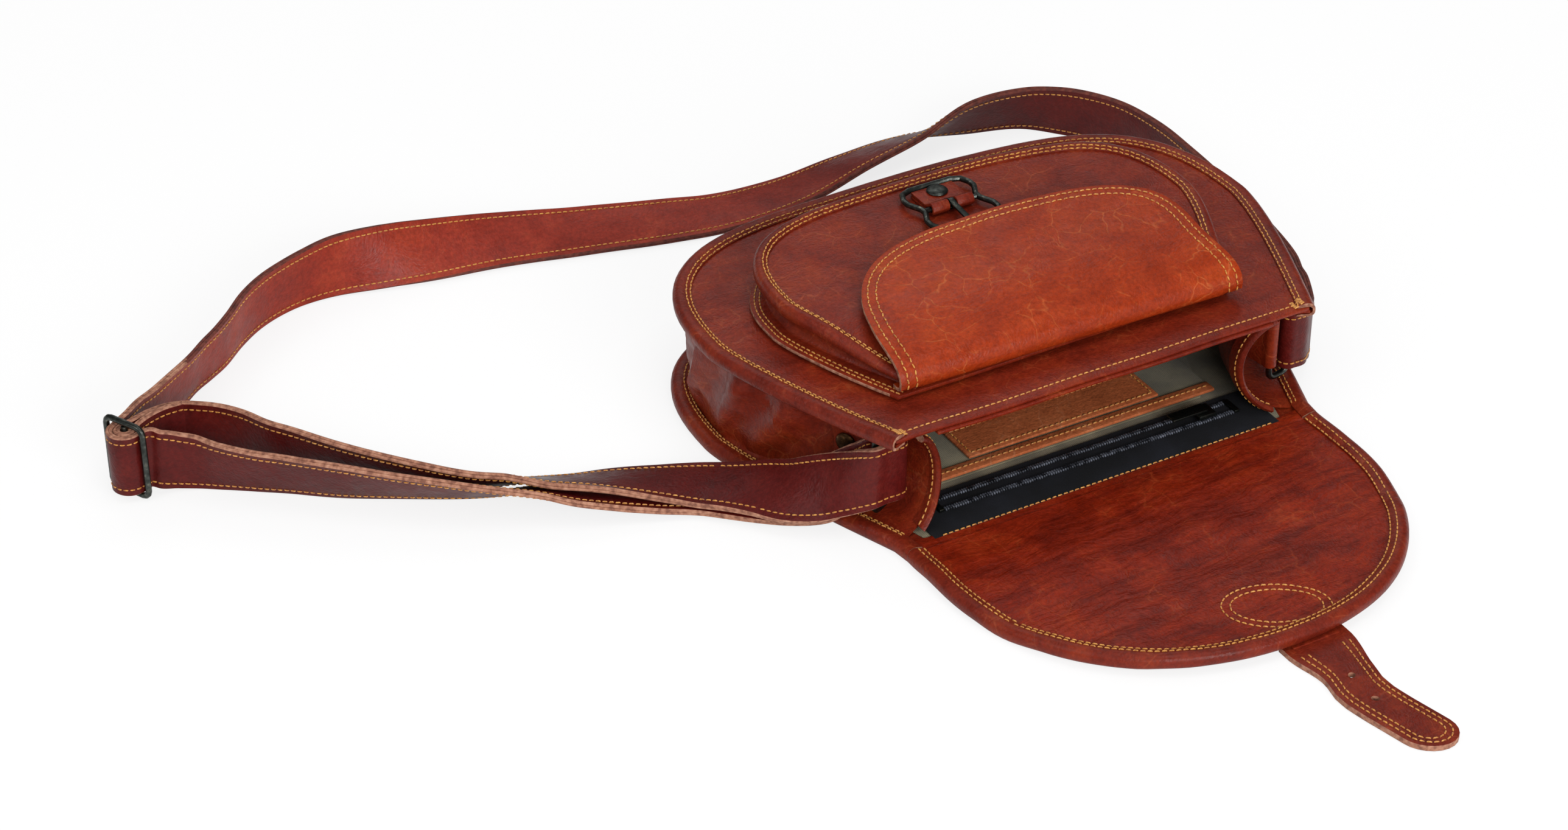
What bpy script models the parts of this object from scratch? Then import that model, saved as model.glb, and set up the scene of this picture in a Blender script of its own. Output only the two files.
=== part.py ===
# Leather saddle bag lying on its back with the flap thrown open, seen as its separate pieces.
# X runs along the mouth, +Y from the mouth to the bottom of the bag, -Y to the tip of the open flap, +Z up.
# Every length is in metres, written as millimetres times MM. Shares are parts of the sizes they follow.
import math

import bmesh
import bpy
from mathutils import Matrix, Vector

MM = 0.001

# Clearances
gap = 0.3 * MM
weld_distance = 0.01 * MM
cut_overrun = 4.0 * MM

# Bag body
mouth_half_width = 116.0 * MM
mouth_place = -5.0 * MM
rim_half_width = 151.4 * MM
rim_wide_place = 110.0 * MM
body_bottom = 203.0 * MM
body_depth = 61.5 * MM
front_shift = -1.5 * MM
front_drop = 6.5 * MM
rim_leather = 1.1 * MM
rim_width = 9.0 * MM
panel_leather = 1.6 * MM
gusset_leather = 1.4 * MM
rim_slot_depth = 2.9 * MM
wall_inset = 10.4 * MM
panel_step = 5.5 * MM

# Gusset, which caves in beside the mouth
cave_left = 22.0 * MM
cave_right = 30.0 * MM
gusset_edge_width = 5.5 * MM
gusset_edge_leather = 2.8 * MM

# Linings, inner pockets and zip
lining_cloth = 0.6 * MM
hem_width = 11.0 * MM
hem_inset = 16.8 * MM
hem_end_inset = 24.0 * MM
zip_half_length = 84.0 * MM
zip_tape_width = 12.5 * MM
zip_tape_cloth = 0.6 * MM
zip_gap = 5.0 * MM
zip_place = 12.0 * MM
coil_width = 2.0 * MM
coil_height = 1.5 * MM
coil_inset = 0.6 * MM
stop_length = 3.0 * MM
slider_length = 9.5 * MM
slider_width = 9.0 * MM
slider_plate = 2.2 * MM
slider_place = 66.0 * MM
pull_length = 19.0 * MM
pull_width = 6.0 * MM
pull_thick = 1.2 * MM
slip_edge_width = 7.0 * MM
slip_edge_leather = 1.6 * MM
slip_half_width = 84.0 * MM
slip_depth = 105.0 * MM
patch_left = -50.0 * MM
patch_right = 57.0 * MM
patch_place = 48.0 * MM
patch_height = 24.0 * MM
patch_leather = 1.4 * MM

# Front pocket
pocket_centre = -5.0 * MM
pocket_half_width = 114.5 * MM
pocket_mouth_half_width = 90.0 * MM
pocket_mouth_place = 24.0 * MM
pocket_wide_place = 94.0 * MM
pocket_bottom = 163.0 * MM
pocket_depth = 20.0 * MM
pocket_rim_width = 7.0 * MM
pocket_wall_inset = 8.4 * MM
pocket_flap_half_width = 90.0 * MM
pocket_flap_end = 109.0 * MM
pocket_flap_skew = 7.0 * MM
pocket_flap_leather = 2.2 * MM
pocket_flap_foot = 11.0 * MM
pocket_flap_back = 16.0 * MM
pocket_flap_fold = 22.0 * MM
pocket_flap_rise = 4.0 * MM

# Buckle on the pocket
buckle_centre = -5.0 * MM
buckle_bar_place = 128.5 * MM
buckle_half_width = 18.6 * MM
buckle_waist_half_width = 15.2 * MM
buckle_half_length = 20.0 * MM
buckle_wire = 1.5 * MM
buckle_corner = 7.0 * MM
keeper_half_width = 11.5 * MM
keeper_leather = 1.4 * MM
keeper_length = 18.0 * MM
keeper_slot = 4.4 * MM
keeper_slot_length = 9.0 * MM
tongue_width = 3.0 * MM
tongue_strip = 1.1 * MM
tongue_length = 16.0 * MM
rivet_cap_radius = 5.4 * MM
rivet_cap_height = 1.6 * MM

# Flap and closing strap
flap_hinge_place = -15.0 * MM
flap_bridge_length = 68.0 * MM
flap_side_end = -43.0 * MM
flap_half_width = 114.8 * MM
flap_tip_place = -155.7 * MM
flap_tip_lift = 3.8 * MM
hinge_gap = 0.4 * MM
closing_centre = 9.5 * MM
closing_width = 25.0 * MM
closing_leather = 3.0 * MM
closing_length = 83.0 * MM
closing_base_half_width = 21.0 * MM
closing_base_length = 40.0 * MM
closing_base_leather = 1.4 * MM
closing_hole_radius = 1.8 * MM
closing_hole_first = 25.0 * MM
closing_hole_step = 18.0 * MM

# Shoulder strap, its rings and its slider
strap_width = 32.0 * MM
strap_leather = 3.2 * MM
layer_gap = 0.6 * MM
strap_span = 409.4 * MM
side_clearance = 8.2 * MM
swing_place = 45.0 * MM
swing_height = 18.0 * MM
strap_in_ring = 3.0 * MM
ring_wire = 1.6 * MM
ring_opening = 38.6 * MM
ring_reach = 12.6 * MM
ring_corner = 4.0 * MM
ring_height = 31.9 * MM
ring_left_reach = 104.4 * MM
ring_left_y = 19.5 * MM
ring_right_reach = 105.5 * MM
ring_right_y = 14.6 * MM
tab_width = 26.0 * MM
tab_leather = 1.4 * MM
tab_length = 34.0 * MM
tab_clearance = 1.3 * MM
slide_wire = 1.6 * MM
slide_opening = 34.5 * MM
slide_reach = 22.0 * MM
slide_corner = 3.5 * MM
slide_left_reach = 403.3 * MM
slide_left_y = 220.4 * MM

# Counts
rim_steps = 10
low_steps = 11
flap_steps = 9
arc_steps = 6
wire_resolution = 2

# Shares of the strap's run that keep their place when it is made longer
strap_near_share = 0.33
strap_far_share = 0.9
ring_follow_share = 0.25
strap_table_share = 2.0167488
rim_table_share = 0.7458128

# Heights that follow from the leathers
rim_thick = 2 * rim_leather + panel_leather + gusset_leather + 3 * gap
back_rim_panel = rim_leather + gap
back_rim_flange = back_rim_panel + panel_leather + gap
front_base = body_depth - rim_thick
front_flange = front_base + rim_leather + gap
front_under = front_flange + gusset_leather + gap
front_top = front_under + panel_leather
inner_floor = panel_leather + gap
flap_axis_height = rim_thick + gap

# What moves outwards when the rim is made wider, or the strap longer, than its share of the bag's length
strap_table_span = strap_table_share * body_bottom
rim_table_half_width = rim_table_share * body_bottom
rim_growth = ring_follow_share * (rim_half_width - rim_table_half_width)
strap_growth = strap_span - strap_table_span
ring_left_x = -ring_left_reach - rim_growth
ring_right_x = ring_right_reach + rim_growth
slide_left_x = -slide_left_reach - strap_growth - rim_growth

# Shares that shape the outlines
corner_handle_share = (0.33, 0.274)
wide_low_handle_share = 0.196
wide_high_handle_share = 0.96
bottom_handle_share = 0.613
flap_side_handle_share = 0.48
flap_tip_handle_share = 0.69
slide_run_shares = (0.45, -0.893)
strap_tail_shares = ((-0.9565, 1.0450), (-0.9410, 1.0620), (-0.9195, 1.0752), (-0.8960, 1.0762))
cave_shares = ((-0.1, 0.84), (0.03, 0.93), (0.1, 0.93), (0.21, 0.64), (0.33, 0.38), (0.47, 0.17))
cave_round_share = 0.26
cave_round_mouth_share = 0.4

leather_red = (0.32, 0.055, 0.018, 1.0)
leather_wine = (0.13, 0.022, 0.018, 1.0)
leather_tan = (0.42, 0.14, 0.045, 1.0)
canvas_olive = (0.09, 0.085, 0.055, 1.0)
tape_black = (0.012, 0.012, 0.014, 1.0)
metal_dark = (0.06, 0.06, 0.055, 1.0)


def clear_scene():
    for item in list(bpy.data.objects):
        bpy.data.objects.remove(item, do_unlink=True)


def make_collection(name):
    group = bpy.data.collections.new(name)
    bpy.context.scene.collection.children.link(group)
    return group


def make_material(name, colour, roughness, metallic):
    material = bpy.data.materials.new(name)
    material.use_nodes = True
    shader = material.node_tree.nodes["Principled BSDF"]
    shader.inputs["Base Color"].default_value = colour
    shader.inputs["Roughness"].default_value = roughness
    shader.inputs["Metallic"].default_value = metallic
    return material


clear_scene()
parts = make_collection("leather_bag")
cutters = make_collection("cutters")
finish = {
    "body": make_material("body_leather", leather_red, 0.45, 0.0),
    "strap": make_material("strap_leather", leather_wine, 0.45, 0.0),
    "tan": make_material("tan_leather", leather_tan, 0.55, 0.0),
    "canvas": make_material("canvas", canvas_olive, 0.9, 0.0),
    "tape": make_material("zip_tape", tape_black, 0.7, 0.0),
    "metal": make_material("dark_metal", metal_dark, 0.35, 1.0),
}


def add_object(name, data, material, pivot=None):
    """Link a new part. A moving piece gets its origin on its joint's axis."""
    item = bpy.data.objects.new(name, data)
    parts.objects.link(item)
    data.materials.append(finish[material])
    if pivot is not None:
        data.transform(Matrix.Translation(-Vector(pivot)))
        item.location = pivot
    return item


def shade(data):
    data.shade_smooth()
    data.set_sharp_from_angle(angle=math.radians(35))


def skin(name, rows, thick, material, closing_face=False, loop=False, pivot=None):
    """A sheet through rows of points, thickened evenly about its middle."""
    mesh = bmesh.new()
    grid = [[mesh.verts.new(point) for point in row] for row in rows]
    last = len(grid) if loop else len(grid) - 1
    for i in range(last):
        here = grid[i]
        there = grid[(i + 1) % len(grid)]
        for j in range(len(here) - 1):
            mesh.faces.new((here[j], here[j + 1], there[j + 1], there[j]))
    if closing_face:
        mesh.faces.new(grid[-1])
    bmesh.ops.recalc_face_normals(mesh, faces=mesh.faces)
    data = bpy.data.meshes.new(name)
    mesh.to_mesh(data)
    mesh.free()
    item = add_object(name, data, material, pivot)
    solid = item.modifiers.new("thickness", "SOLIDIFY")
    solid.thickness = thick
    solid.offset = 0
    solid.use_even_offset = True
    return item


def block(name, low, high, material, pivot=None):
    """A rectangular piece between two corners."""
    low = Vector(low)
    high = Vector(high)
    size = high - low
    mesh = bmesh.new()
    bmesh.ops.create_cube(mesh, size=1.0)
    bmesh.ops.scale(mesh, vec=size, verts=mesh.verts)
    bmesh.ops.translate(mesh, vec=(low + high) / 2, verts=mesh.verts)
    data = bpy.data.meshes.new(name)
    mesh.to_mesh(data)
    mesh.free()
    return add_object(name, data, material, pivot)


def plate(name, outline, low, thick, material, pivot=None):
    """A flat piece: an outline in plan, thickened upwards from its underside."""
    middle = low + thick / 2
    rows = [[Vector((x, y, middle)) for x, y in outline]]
    return skin(name, rows, thick, material, closing_face=True, pivot=pivot)


def evaluated_mesh(item, name):
    """The finished mesh of an object, with the loose caps of a curve joined."""
    graph = bpy.context.evaluated_depsgraph_get()
    data = bpy.data.meshes.new_from_object(item.evaluated_get(graph))
    data.transform(item.matrix_world)
    mesh = bmesh.new()
    mesh.from_mesh(data)
    bmesh.ops.remove_doubles(mesh, verts=mesh.verts, dist=weld_distance)
    bmesh.ops.recalc_face_normals(mesh, faces=mesh.faces)
    mesh.to_mesh(data)
    mesh.free()
    data.name = name
    return data


def wire(name, points, radius, material, closed=False, pivot=None):
    """A round wire through the points, as a mesh."""
    data = bpy.data.curves.new(name + "_path", "CURVE")
    data.dimensions = "3D"
    data.bevel_depth = radius
    data.bevel_resolution = wire_resolution
    data.use_fill_caps = True
    spline = data.splines.new("POLY")
    spline.points.add(len(points) - 1)
    for spot, point in zip(spline.points, points):
        spot.co = (point[0], point[1], point[2], 1.0)
    spline.use_cyclic_u = closed
    path = bpy.data.objects.new(name + "_path", data)
    parts.objects.link(path)
    bpy.context.view_layer.update()
    mesh = evaluated_mesh(path, name)
    bpy.data.objects.remove(path, do_unlink=True)
    mesh.materials.clear()
    shade(mesh)
    return add_object(name, mesh, material, pivot)


def combine(item, other, operation):
    """Cut or join a second object into the first, and keep only the result."""
    step = item.modifiers.new(operation.lower(), "BOOLEAN")
    step.operation = operation
    step.solver = "EXACT"
    step.object = other
    other.hide_render = True
    other.display_type = "WIRE"
    for group in list(other.users_collection):
        group.objects.unlink(other)
    cutters.objects.link(other)
    return item


def cylinder(name, centre, radius, height, axis, steps=20):
    """A round cutter or post about the given axis."""
    mesh = bmesh.new()
    bmesh.ops.create_cone(
        mesh, cap_ends=True, segments=steps, radius1=radius, radius2=radius, depth=height
    )
    data = bpy.data.meshes.new(name)
    mesh.to_mesh(data)
    mesh.free()
    turn = Vector((0, 0, 1)).rotation_difference(Vector(axis)).to_matrix().to_4x4()
    data.transform(Matrix.Translation(Vector(centre)) @ turn)
    return data


def cap(name, centre, axis, material, radius, height):
    """A domed rivet cap, turned from its profile."""
    profile = [
        (0.0, height),
        (radius * 0.55, height * 0.92),
        (radius * 0.88, height * 0.62),
        (radius, height * 0.22),
        (radius * 0.97, 0.0),
        (0.0, 0.0),
    ]
    data = bpy.data.meshes.new(name)
    corners = [Vector((x, 0.0, z)) for x, z in profile]
    edges = [(i, i + 1) for i in range(len(corners) - 1)]
    data.from_pydata(corners, edges, [])
    item = add_object(name, data, material)
    turn = item.modifiers.new("turn", "SCREW")
    turn.steps = 20
    turn.render_steps = 20
    turn.use_merge_vertices = True
    turn.merge_threshold = weld_distance
    item.rotation_mode = "QUATERNION"
    item.rotation_quaternion = Vector((0, 0, 1)).rotation_difference(Vector(axis))
    item.location = centre
    return item


def bezier(start, first, second, end, count):
    """Points on a cubic curve, both ends included."""
    points = []
    for i in range(count + 1):
        t = i / count
        s = 1 - t
        weights = (s**3, 3 * s * s * t, 3 * s * t * t, t**3)
        x = sum(w * p[0] for w, p in zip(weights, (start, first, second, end)))
        y = sum(w * p[1] for w, p in zip(weights, (start, first, second, end)))
        points.append((x, y))
    return points


def horseshoe(mouth_half, mouth_y, wide_half, wide_y, low_y, centre):
    """The D outline from the left mouth corner round the bottom to the right mouth corner."""
    rise = wide_y - mouth_y
    swell = wide_half - mouth_half
    corner_handle = (
        mouth_half + corner_handle_share[0] * swell,
        mouth_y + corner_handle_share[1] * rise,
    )
    side = bezier(
        (mouth_half, mouth_y),
        corner_handle,
        (wide_half, wide_y - wide_low_handle_share * rise),
        (wide_half, wide_y),
        rim_steps,
    )
    bottom = bezier(
        (wide_half, wide_y),
        (wide_half, wide_y + wide_high_handle_share * (low_y - wide_y)),
        (bottom_handle_share * wide_half, low_y),
        (0.0, low_y),
        low_steps,
    )
    right = side + bottom[1:]
    left = [(centre - x, y) for x, y in right]
    return left + [(centre + x, y) for x, y in reversed(right[:-1])]


def inset(outline, distance, side=1):
    """Move an open outline inwards. Its ends slide along the straight mouth edge."""
    moved = []
    count = len(outline)
    for i, (x, y) in enumerate(outline):
        if i == 0:
            inward = (1.0, 0.0)
        elif i == count - 1:
            inward = (-1.0, 0.0)
        else:
            run_x = outline[i + 1][0] - outline[i - 1][0]
            run_y = outline[i + 1][1] - outline[i - 1][1]
            length = math.hypot(run_x, run_y)
            inward = (side * run_y / length, -side * run_x / length)
        moved.append((x + distance * inward[0], y + distance * inward[1]))
    return moved


def at_height(outline, height):
    return [Vector((x, y, height)) for x, y in outline]


def columns(rows):
    """Swap rows and columns, so that a sweep runs along its outline."""
    return [list(column) for column in zip(*rows)]


back_outline = horseshoe(
    mouth_half_width, mouth_place, rim_half_width, rim_wide_place, body_bottom, 0.0
)
front_outline = horseshoe(
    mouth_half_width,
    mouth_place,
    rim_half_width,
    rim_wide_place - front_drop,
    body_bottom - front_drop,
    front_shift,
)
pocket_outline = horseshoe(
    pocket_mouth_half_width,
    pocket_mouth_place,
    pocket_half_width,
    pocket_wide_place,
    pocket_bottom,
    pocket_centre,
)


def binding(name, outline, low, thick, width, material="body", side=1, lift=None, pivot=None):
    """The folded strip round a rim: a U whose open side faces the middle of the panel."""
    half = rim_leather / 2
    top = low + thick
    profile = [
        (width, low + half),
        (2 * rim_leather, low + half),
        (half, low + 2 * rim_leather),
        (half, top - 2 * rim_leather),
        (2 * rim_leather, top - half),
        (width, top - half),
    ]
    rows = [at_height(inset(outline, distance, side), height) for distance, height in profile]
    if lift:
        rows = [[point + lift(point) for point in row] for row in rows]
    return skin(name, columns(rows), rim_leather, material, pivot=pivot)


def panel(name, outline, levels, thick, material, side=1, lift=None, pivot=None):
    """A leather panel whose rim follows the outline. Levels pair an inset with the underside's height."""
    rows = []
    for distance, low in levels:
        rows.append(at_height(inset(outline, distance, side), low + thick / 2))
    if lift:
        rows = [[point + lift(point) for point in row] for row in rows]
    return skin(name, rows, thick, material, closing_face=True, pivot=pivot)


def stepped_row(wide, place, rim_low, low, thick):
    """A row across a panel that steps down from its two rims."""
    half = thick / 2
    side_points = [
        (wide - rim_slot_depth, rim_low + half),
        (wide - rim_width, rim_low + half),
        (wide - wall_inset - gusset_leather - panel_step, low + half),
    ]
    row = [Vector((-x, place, z)) for x, z in side_points]
    return row + [Vector((x, place, z)) for x, z in reversed(side_points)]


def make_body():
    rim_edge = rim_slot_depth
    step_start = wall_inset + gusset_leather
    step_end = step_start + panel_step
    hinge_end = flap_hinge_place + hinge_gap
    hinged_outline = [(-flap_half_width, hinge_end)] + back_outline + [(flap_half_width, hinge_end)]
    panel(
        "back_panel",
        hinged_outline,
        [(rim_edge, back_rim_panel), (rim_width, back_rim_panel), (step_end, 0.0)],
        panel_leather,
        "body",
    )
    binding("back_binding", hinged_outline, 0.0, rim_thick, rim_width)
    rows = []
    for wide, place in (
        (flap_half_width, hinge_end),
        (mouth_half_width, mouth_place - 2 * gap),
    ):
        rows.append(stepped_row(wide, place, back_rim_flange, inner_floor, gusset_leather))
    skin("mouth_facing", rows, gusset_leather, "body")
    panel(
        "front_panel", front_outline, [(rim_edge, front_under)], panel_leather, "body"
    )
    binding("front_binding", front_outline, front_base, rim_thick, rim_width)
    lining_edge = wall_inset + gusset_leather / 2 + gap
    panel(
        "back_lining",
        inset(back_outline, panel_step),
        [(lining_edge, inner_floor)],
        lining_cloth,
        "canvas",
    )
    hem_under = front_under - gap - lining_cloth
    lining_outline = [
        (x, max(y, mouth_place + hem_width + gap)) for x, y in inset(front_outline, hem_inset)
    ]
    plate("front_lining", lining_outline, hem_under, lining_cloth, "canvas")
    hem_half = mouth_half_width - hem_end_inset
    hem_low = front_under - gap - panel_leather
    block(
        "front_hem",
        (front_shift - hem_half, mouth_place, hem_low),
        (front_shift + hem_half, mouth_place + hem_width, front_under - gap),
        "body",
    )


def cave_depth(place, right_side):
    """How far the gusset caves in at a distance below the mouth."""
    depth = cave_right if right_side else cave_left
    reach = place / body_bottom
    table = cave_shares + ((0.66, 0.0),)
    if reach <= table[0][0]:
        return depth * table[0][1]
    for (r0, d0), (r1, d1) in zip(table, table[1:]):
        if r0 <= reach <= r1:
            t = (reach - r0) / (r1 - r0)
            return depth * (d0 + (d1 - d0) * (3 * t * t - 2 * t**3))
    return 0.0


def cave_bow(place, share):
    """The section of the caved wall between its two flanges."""
    if not 0 < share < 1:
        return 0.0
    t = min(max((place - mouth_place) / (3 * gusset_edge_width), 0.0), 1.0)
    power = cave_round_mouth_share + t * (cave_round_share - cave_round_mouth_share)
    return math.sin(math.pi * share) ** power


wall_shares = (0.0, 0.05, 0.14, 0.3, 0.5, 0.7, 0.86, 0.95, 1.0)


def wall_column(index):
    """The gusset's section at one outline point: back flange, caved wall, front flange."""
    back_edge = Vector((*inset(back_outline, rim_slot_depth)[index], 0.0))
    front_edge = Vector((*inset(front_outline, rim_slot_depth)[index], 0.0))
    back_wall = Vector((*inset(back_outline, wall_inset)[index], 0.0))
    front_wall = Vector((*inset(front_outline, wall_inset)[index], 0.0))
    inward = back_wall - Vector((*back_outline[index], 0.0))
    inward.normalize()
    low = back_rim_flange + gusset_leather / 2
    high = front_flange + gusset_leather / 2
    place = back_outline[index][1]
    depth = cave_depth(place, back_outline[index][0] > 0)
    column = [back_edge + Vector((0, 0, low))]
    for share in wall_shares:
        spot = back_wall.lerp(front_wall, share)
        spot = spot + inward * depth * cave_bow(place, share)
        spot.z = low + (high - low) * share
        column.append(spot)
    column.append(front_edge + Vector((0, 0, high)))
    return column


def make_gusset():
    column_list = [wall_column(i) for i in range(len(back_outline))]
    skin("gusset", column_list, gusset_leather, "body")
    for name, column in (("left", column_list[0]), ("right", column_list[-1])):
        wall = column[3:-3]
        step = gusset_leather / 2 + gap
        near = [point - Vector((0, step, 0)) for point in wall]
        far = [point - Vector((0, gusset_edge_width, 0)) for point in wall]
        skin("gusset_edge_" + name, [near, far], gusset_edge_leather, "body")


def make_zip():
    tape_low = inner_floor + lining_cloth + gap
    coil_low = tape_low + zip_tape_cloth + gap
    coil_top = coil_low + coil_height
    for name, direction in (("flap", -1), ("bag", 1)):
        inner = zip_place + direction * zip_gap / 2
        outer = inner + direction * zip_tape_width
        coil_near = inner + direction * coil_inset
        coil_far = coil_near + direction * coil_width
        block(
            "zip_tape_" + name,
            (-zip_half_length, min(inner, outer), tape_low),
            (zip_half_length, max(inner, outer), tape_low + zip_tape_cloth),
            "tape",
        )
        block(
            "zip_coil_" + name,
            (-zip_half_length + stop_length, min(coil_near, coil_far), coil_low),
            (zip_half_length - stop_length, max(coil_near, coil_far), coil_top),
            "tape",
        )
    stop_half = zip_gap / 2 + coil_inset + coil_width
    for name, direction in (("left", -1), ("right", 1)):
        outer = direction * zip_half_length
        inner = outer - direction * (stop_length - gap)
        block(
            "zip_stop_" + name,
            (min(inner, outer), zip_place - stop_half, coil_low),
            (max(inner, outer), zip_place + stop_half, coil_top),
            "metal",
        )
    plate_low = coil_top + gap
    plate_top = plate_low + slider_plate
    half_length = slider_length / 2
    half_width = slider_width / 2
    keel_half = zip_gap / 2 - gap
    slider = block(
        "zip_slider",
        (slider_place - half_length, zip_place - half_width, plate_low),
        (slider_place + half_length, zip_place + half_width, plate_top),
        "metal",
    )
    keel = block(
        "zip_keel",
        (slider_place - half_length / 2, zip_place - keel_half, coil_low),
        (slider_place + half_length / 2, zip_place + keel_half, plate_low + gap),
        "metal",
    )
    combine(slider, keel, "UNION")
    pull_low = plate_top + 2 * gap
    pull_axis = (slider_place, zip_place, pull_low + pull_thick / 2)
    block(
        "zip_pull",
        (slider_place - pull_length, zip_place - pull_width / 2, pull_low),
        (slider_place + pull_thick / 2, zip_place + pull_width / 2, pull_low + pull_thick),
        "metal",
        pivot=pull_axis,
    )


def make_inner_pockets():
    wall_low = inner_floor + lining_cloth + gap
    wall_top = wall_low + lining_cloth
    tape_end = zip_place + zip_gap / 2 + zip_tape_width
    inner = inset(back_outline, wall_inset + gusset_leather + panel_step + cave_right)
    sheet_outline = [(x, max(y, tape_end + gap)) for x, y in inner]
    plate("zip_pocket_wall", sheet_outline, wall_low, lining_cloth, "canvas")
    edge_low = wall_top + gap
    edge_near = tape_end + 2 * gap
    edge_far = edge_near + slip_edge_width
    block(
        "slip_pocket_edge",
        (-slip_half_width, edge_near, edge_low),
        (slip_half_width, edge_far, edge_low + slip_edge_leather),
        "tan",
    )
    block(
        "slip_pocket",
        (-slip_half_width, edge_far + gap, edge_low),
        (slip_half_width, edge_far + slip_depth, edge_low + lining_cloth),
        "canvas",
    )
    patch_low = edge_low + lining_cloth + gap
    block(
        "inner_patch",
        (patch_left, patch_place - patch_height / 2, patch_low),
        (patch_right, patch_place + patch_height / 2, patch_low + patch_leather),
        "tan",
    )


pocket_base = front_top + gap
pocket_flange = pocket_base + gusset_leather + gap
pocket_top = pocket_base + pocket_depth
pocket_low = pocket_top - rim_thick
pocket_under = pocket_top - rim_leather - gap - panel_leather
pocket_flap_low = pocket_top + gap
pocket_flap_top = pocket_flap_low + pocket_flap_leather


def make_pocket():
    panel(
        "pocket_back",
        pocket_outline,
        [(rim_slot_depth, pocket_base)],
        gusset_leather,
        "body",
    )
    low = pocket_flange + gusset_leather / 2
    high = pocket_low + rim_leather + gap + gusset_leather / 2
    flange_edge = at_height(inset(pocket_outline, rim_slot_depth), low)
    wall_low = at_height(inset(pocket_outline, pocket_wall_inset), low)
    wall_high = at_height(inset(pocket_outline, pocket_wall_inset), high)
    rim_edge = at_height(inset(pocket_outline, rim_slot_depth), high)
    skin(
        "pocket_gusset",
        columns([flange_edge, wall_low, wall_high, rim_edge]),
        gusset_leather,
        "body",
    )
    panel(
        "pocket_front",
        pocket_outline,
        [(rim_slot_depth, pocket_under)],
        panel_leather,
        "body",
    )
    binding("pocket_binding", pocket_outline, pocket_low, rim_thick, pocket_rim_width)


def make_pocket_flap():
    half = pocket_flap_leather / 2
    foot_height = front_top + gap + half
    top_height = pocket_flap_low + half
    bend = pocket_flap_leather
    route = [
        (pocket_flap_foot, foot_height),
        (pocket_flap_back - bend, foot_height),
        (pocket_flap_back, foot_height + bend),
        (pocket_flap_back, top_height - bend),
        (pocket_flap_back + bend, top_height),
        (pocket_flap_fold - gap / 2, top_height),
    ]
    sides = (pocket_centre - pocket_flap_half_width, pocket_centre + pocket_flap_half_width)
    rows = [[Vector((x, y, z)) for x in sides] for y, z in route]
    skin("pocket_flap_root", rows, pocket_flap_leather, "body")
    reach = pocket_flap_end - pocket_flap_fold
    start = pocket_flap_fold + gap / 2
    side_end = pocket_flap_fold + 0.42 * reach
    right = bezier(
        (pocket_flap_half_width, side_end),
        (pocket_flap_half_width, side_end + 0.75 * (pocket_flap_end - side_end)),
        (0.72 * pocket_flap_half_width, pocket_flap_end),
        (0.0, pocket_flap_end),
        flap_steps,
    )
    half_outline = [(pocket_flap_half_width, start)] + right
    outline = [(-x, y) for x, y in half_outline]
    outline += [(x, y) for x, y in reversed(half_outline[:-1])]
    points = []
    for x, y in outline:
        share = (y - start) / reach
        shift = pocket_centre + pocket_flap_skew * share
        points.append(Vector((x + shift, y, top_height + pocket_flap_rise * share)))
    axis = (pocket_centre, pocket_flap_fold, pocket_flap_top + gap)
    skin("pocket_flap", [points], pocket_flap_leather, "body", closing_face=True, pivot=axis)


keeper_low = pocket_under + panel_leather + gap
bar_height = keeper_low + keeper_leather + gap + buckle_wire


def arc(centre_y, centre_z, radius, start, end, steps):
    """Points of an arc in the upright plane along Y, angles in degrees from +Y."""
    points = []
    for i in range(steps + 1):
        angle = math.radians(start + (end - start) * i / steps)
        points.append((centre_y + radius * math.cos(angle), centre_z + radius * math.sin(angle)))
    return points


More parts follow.
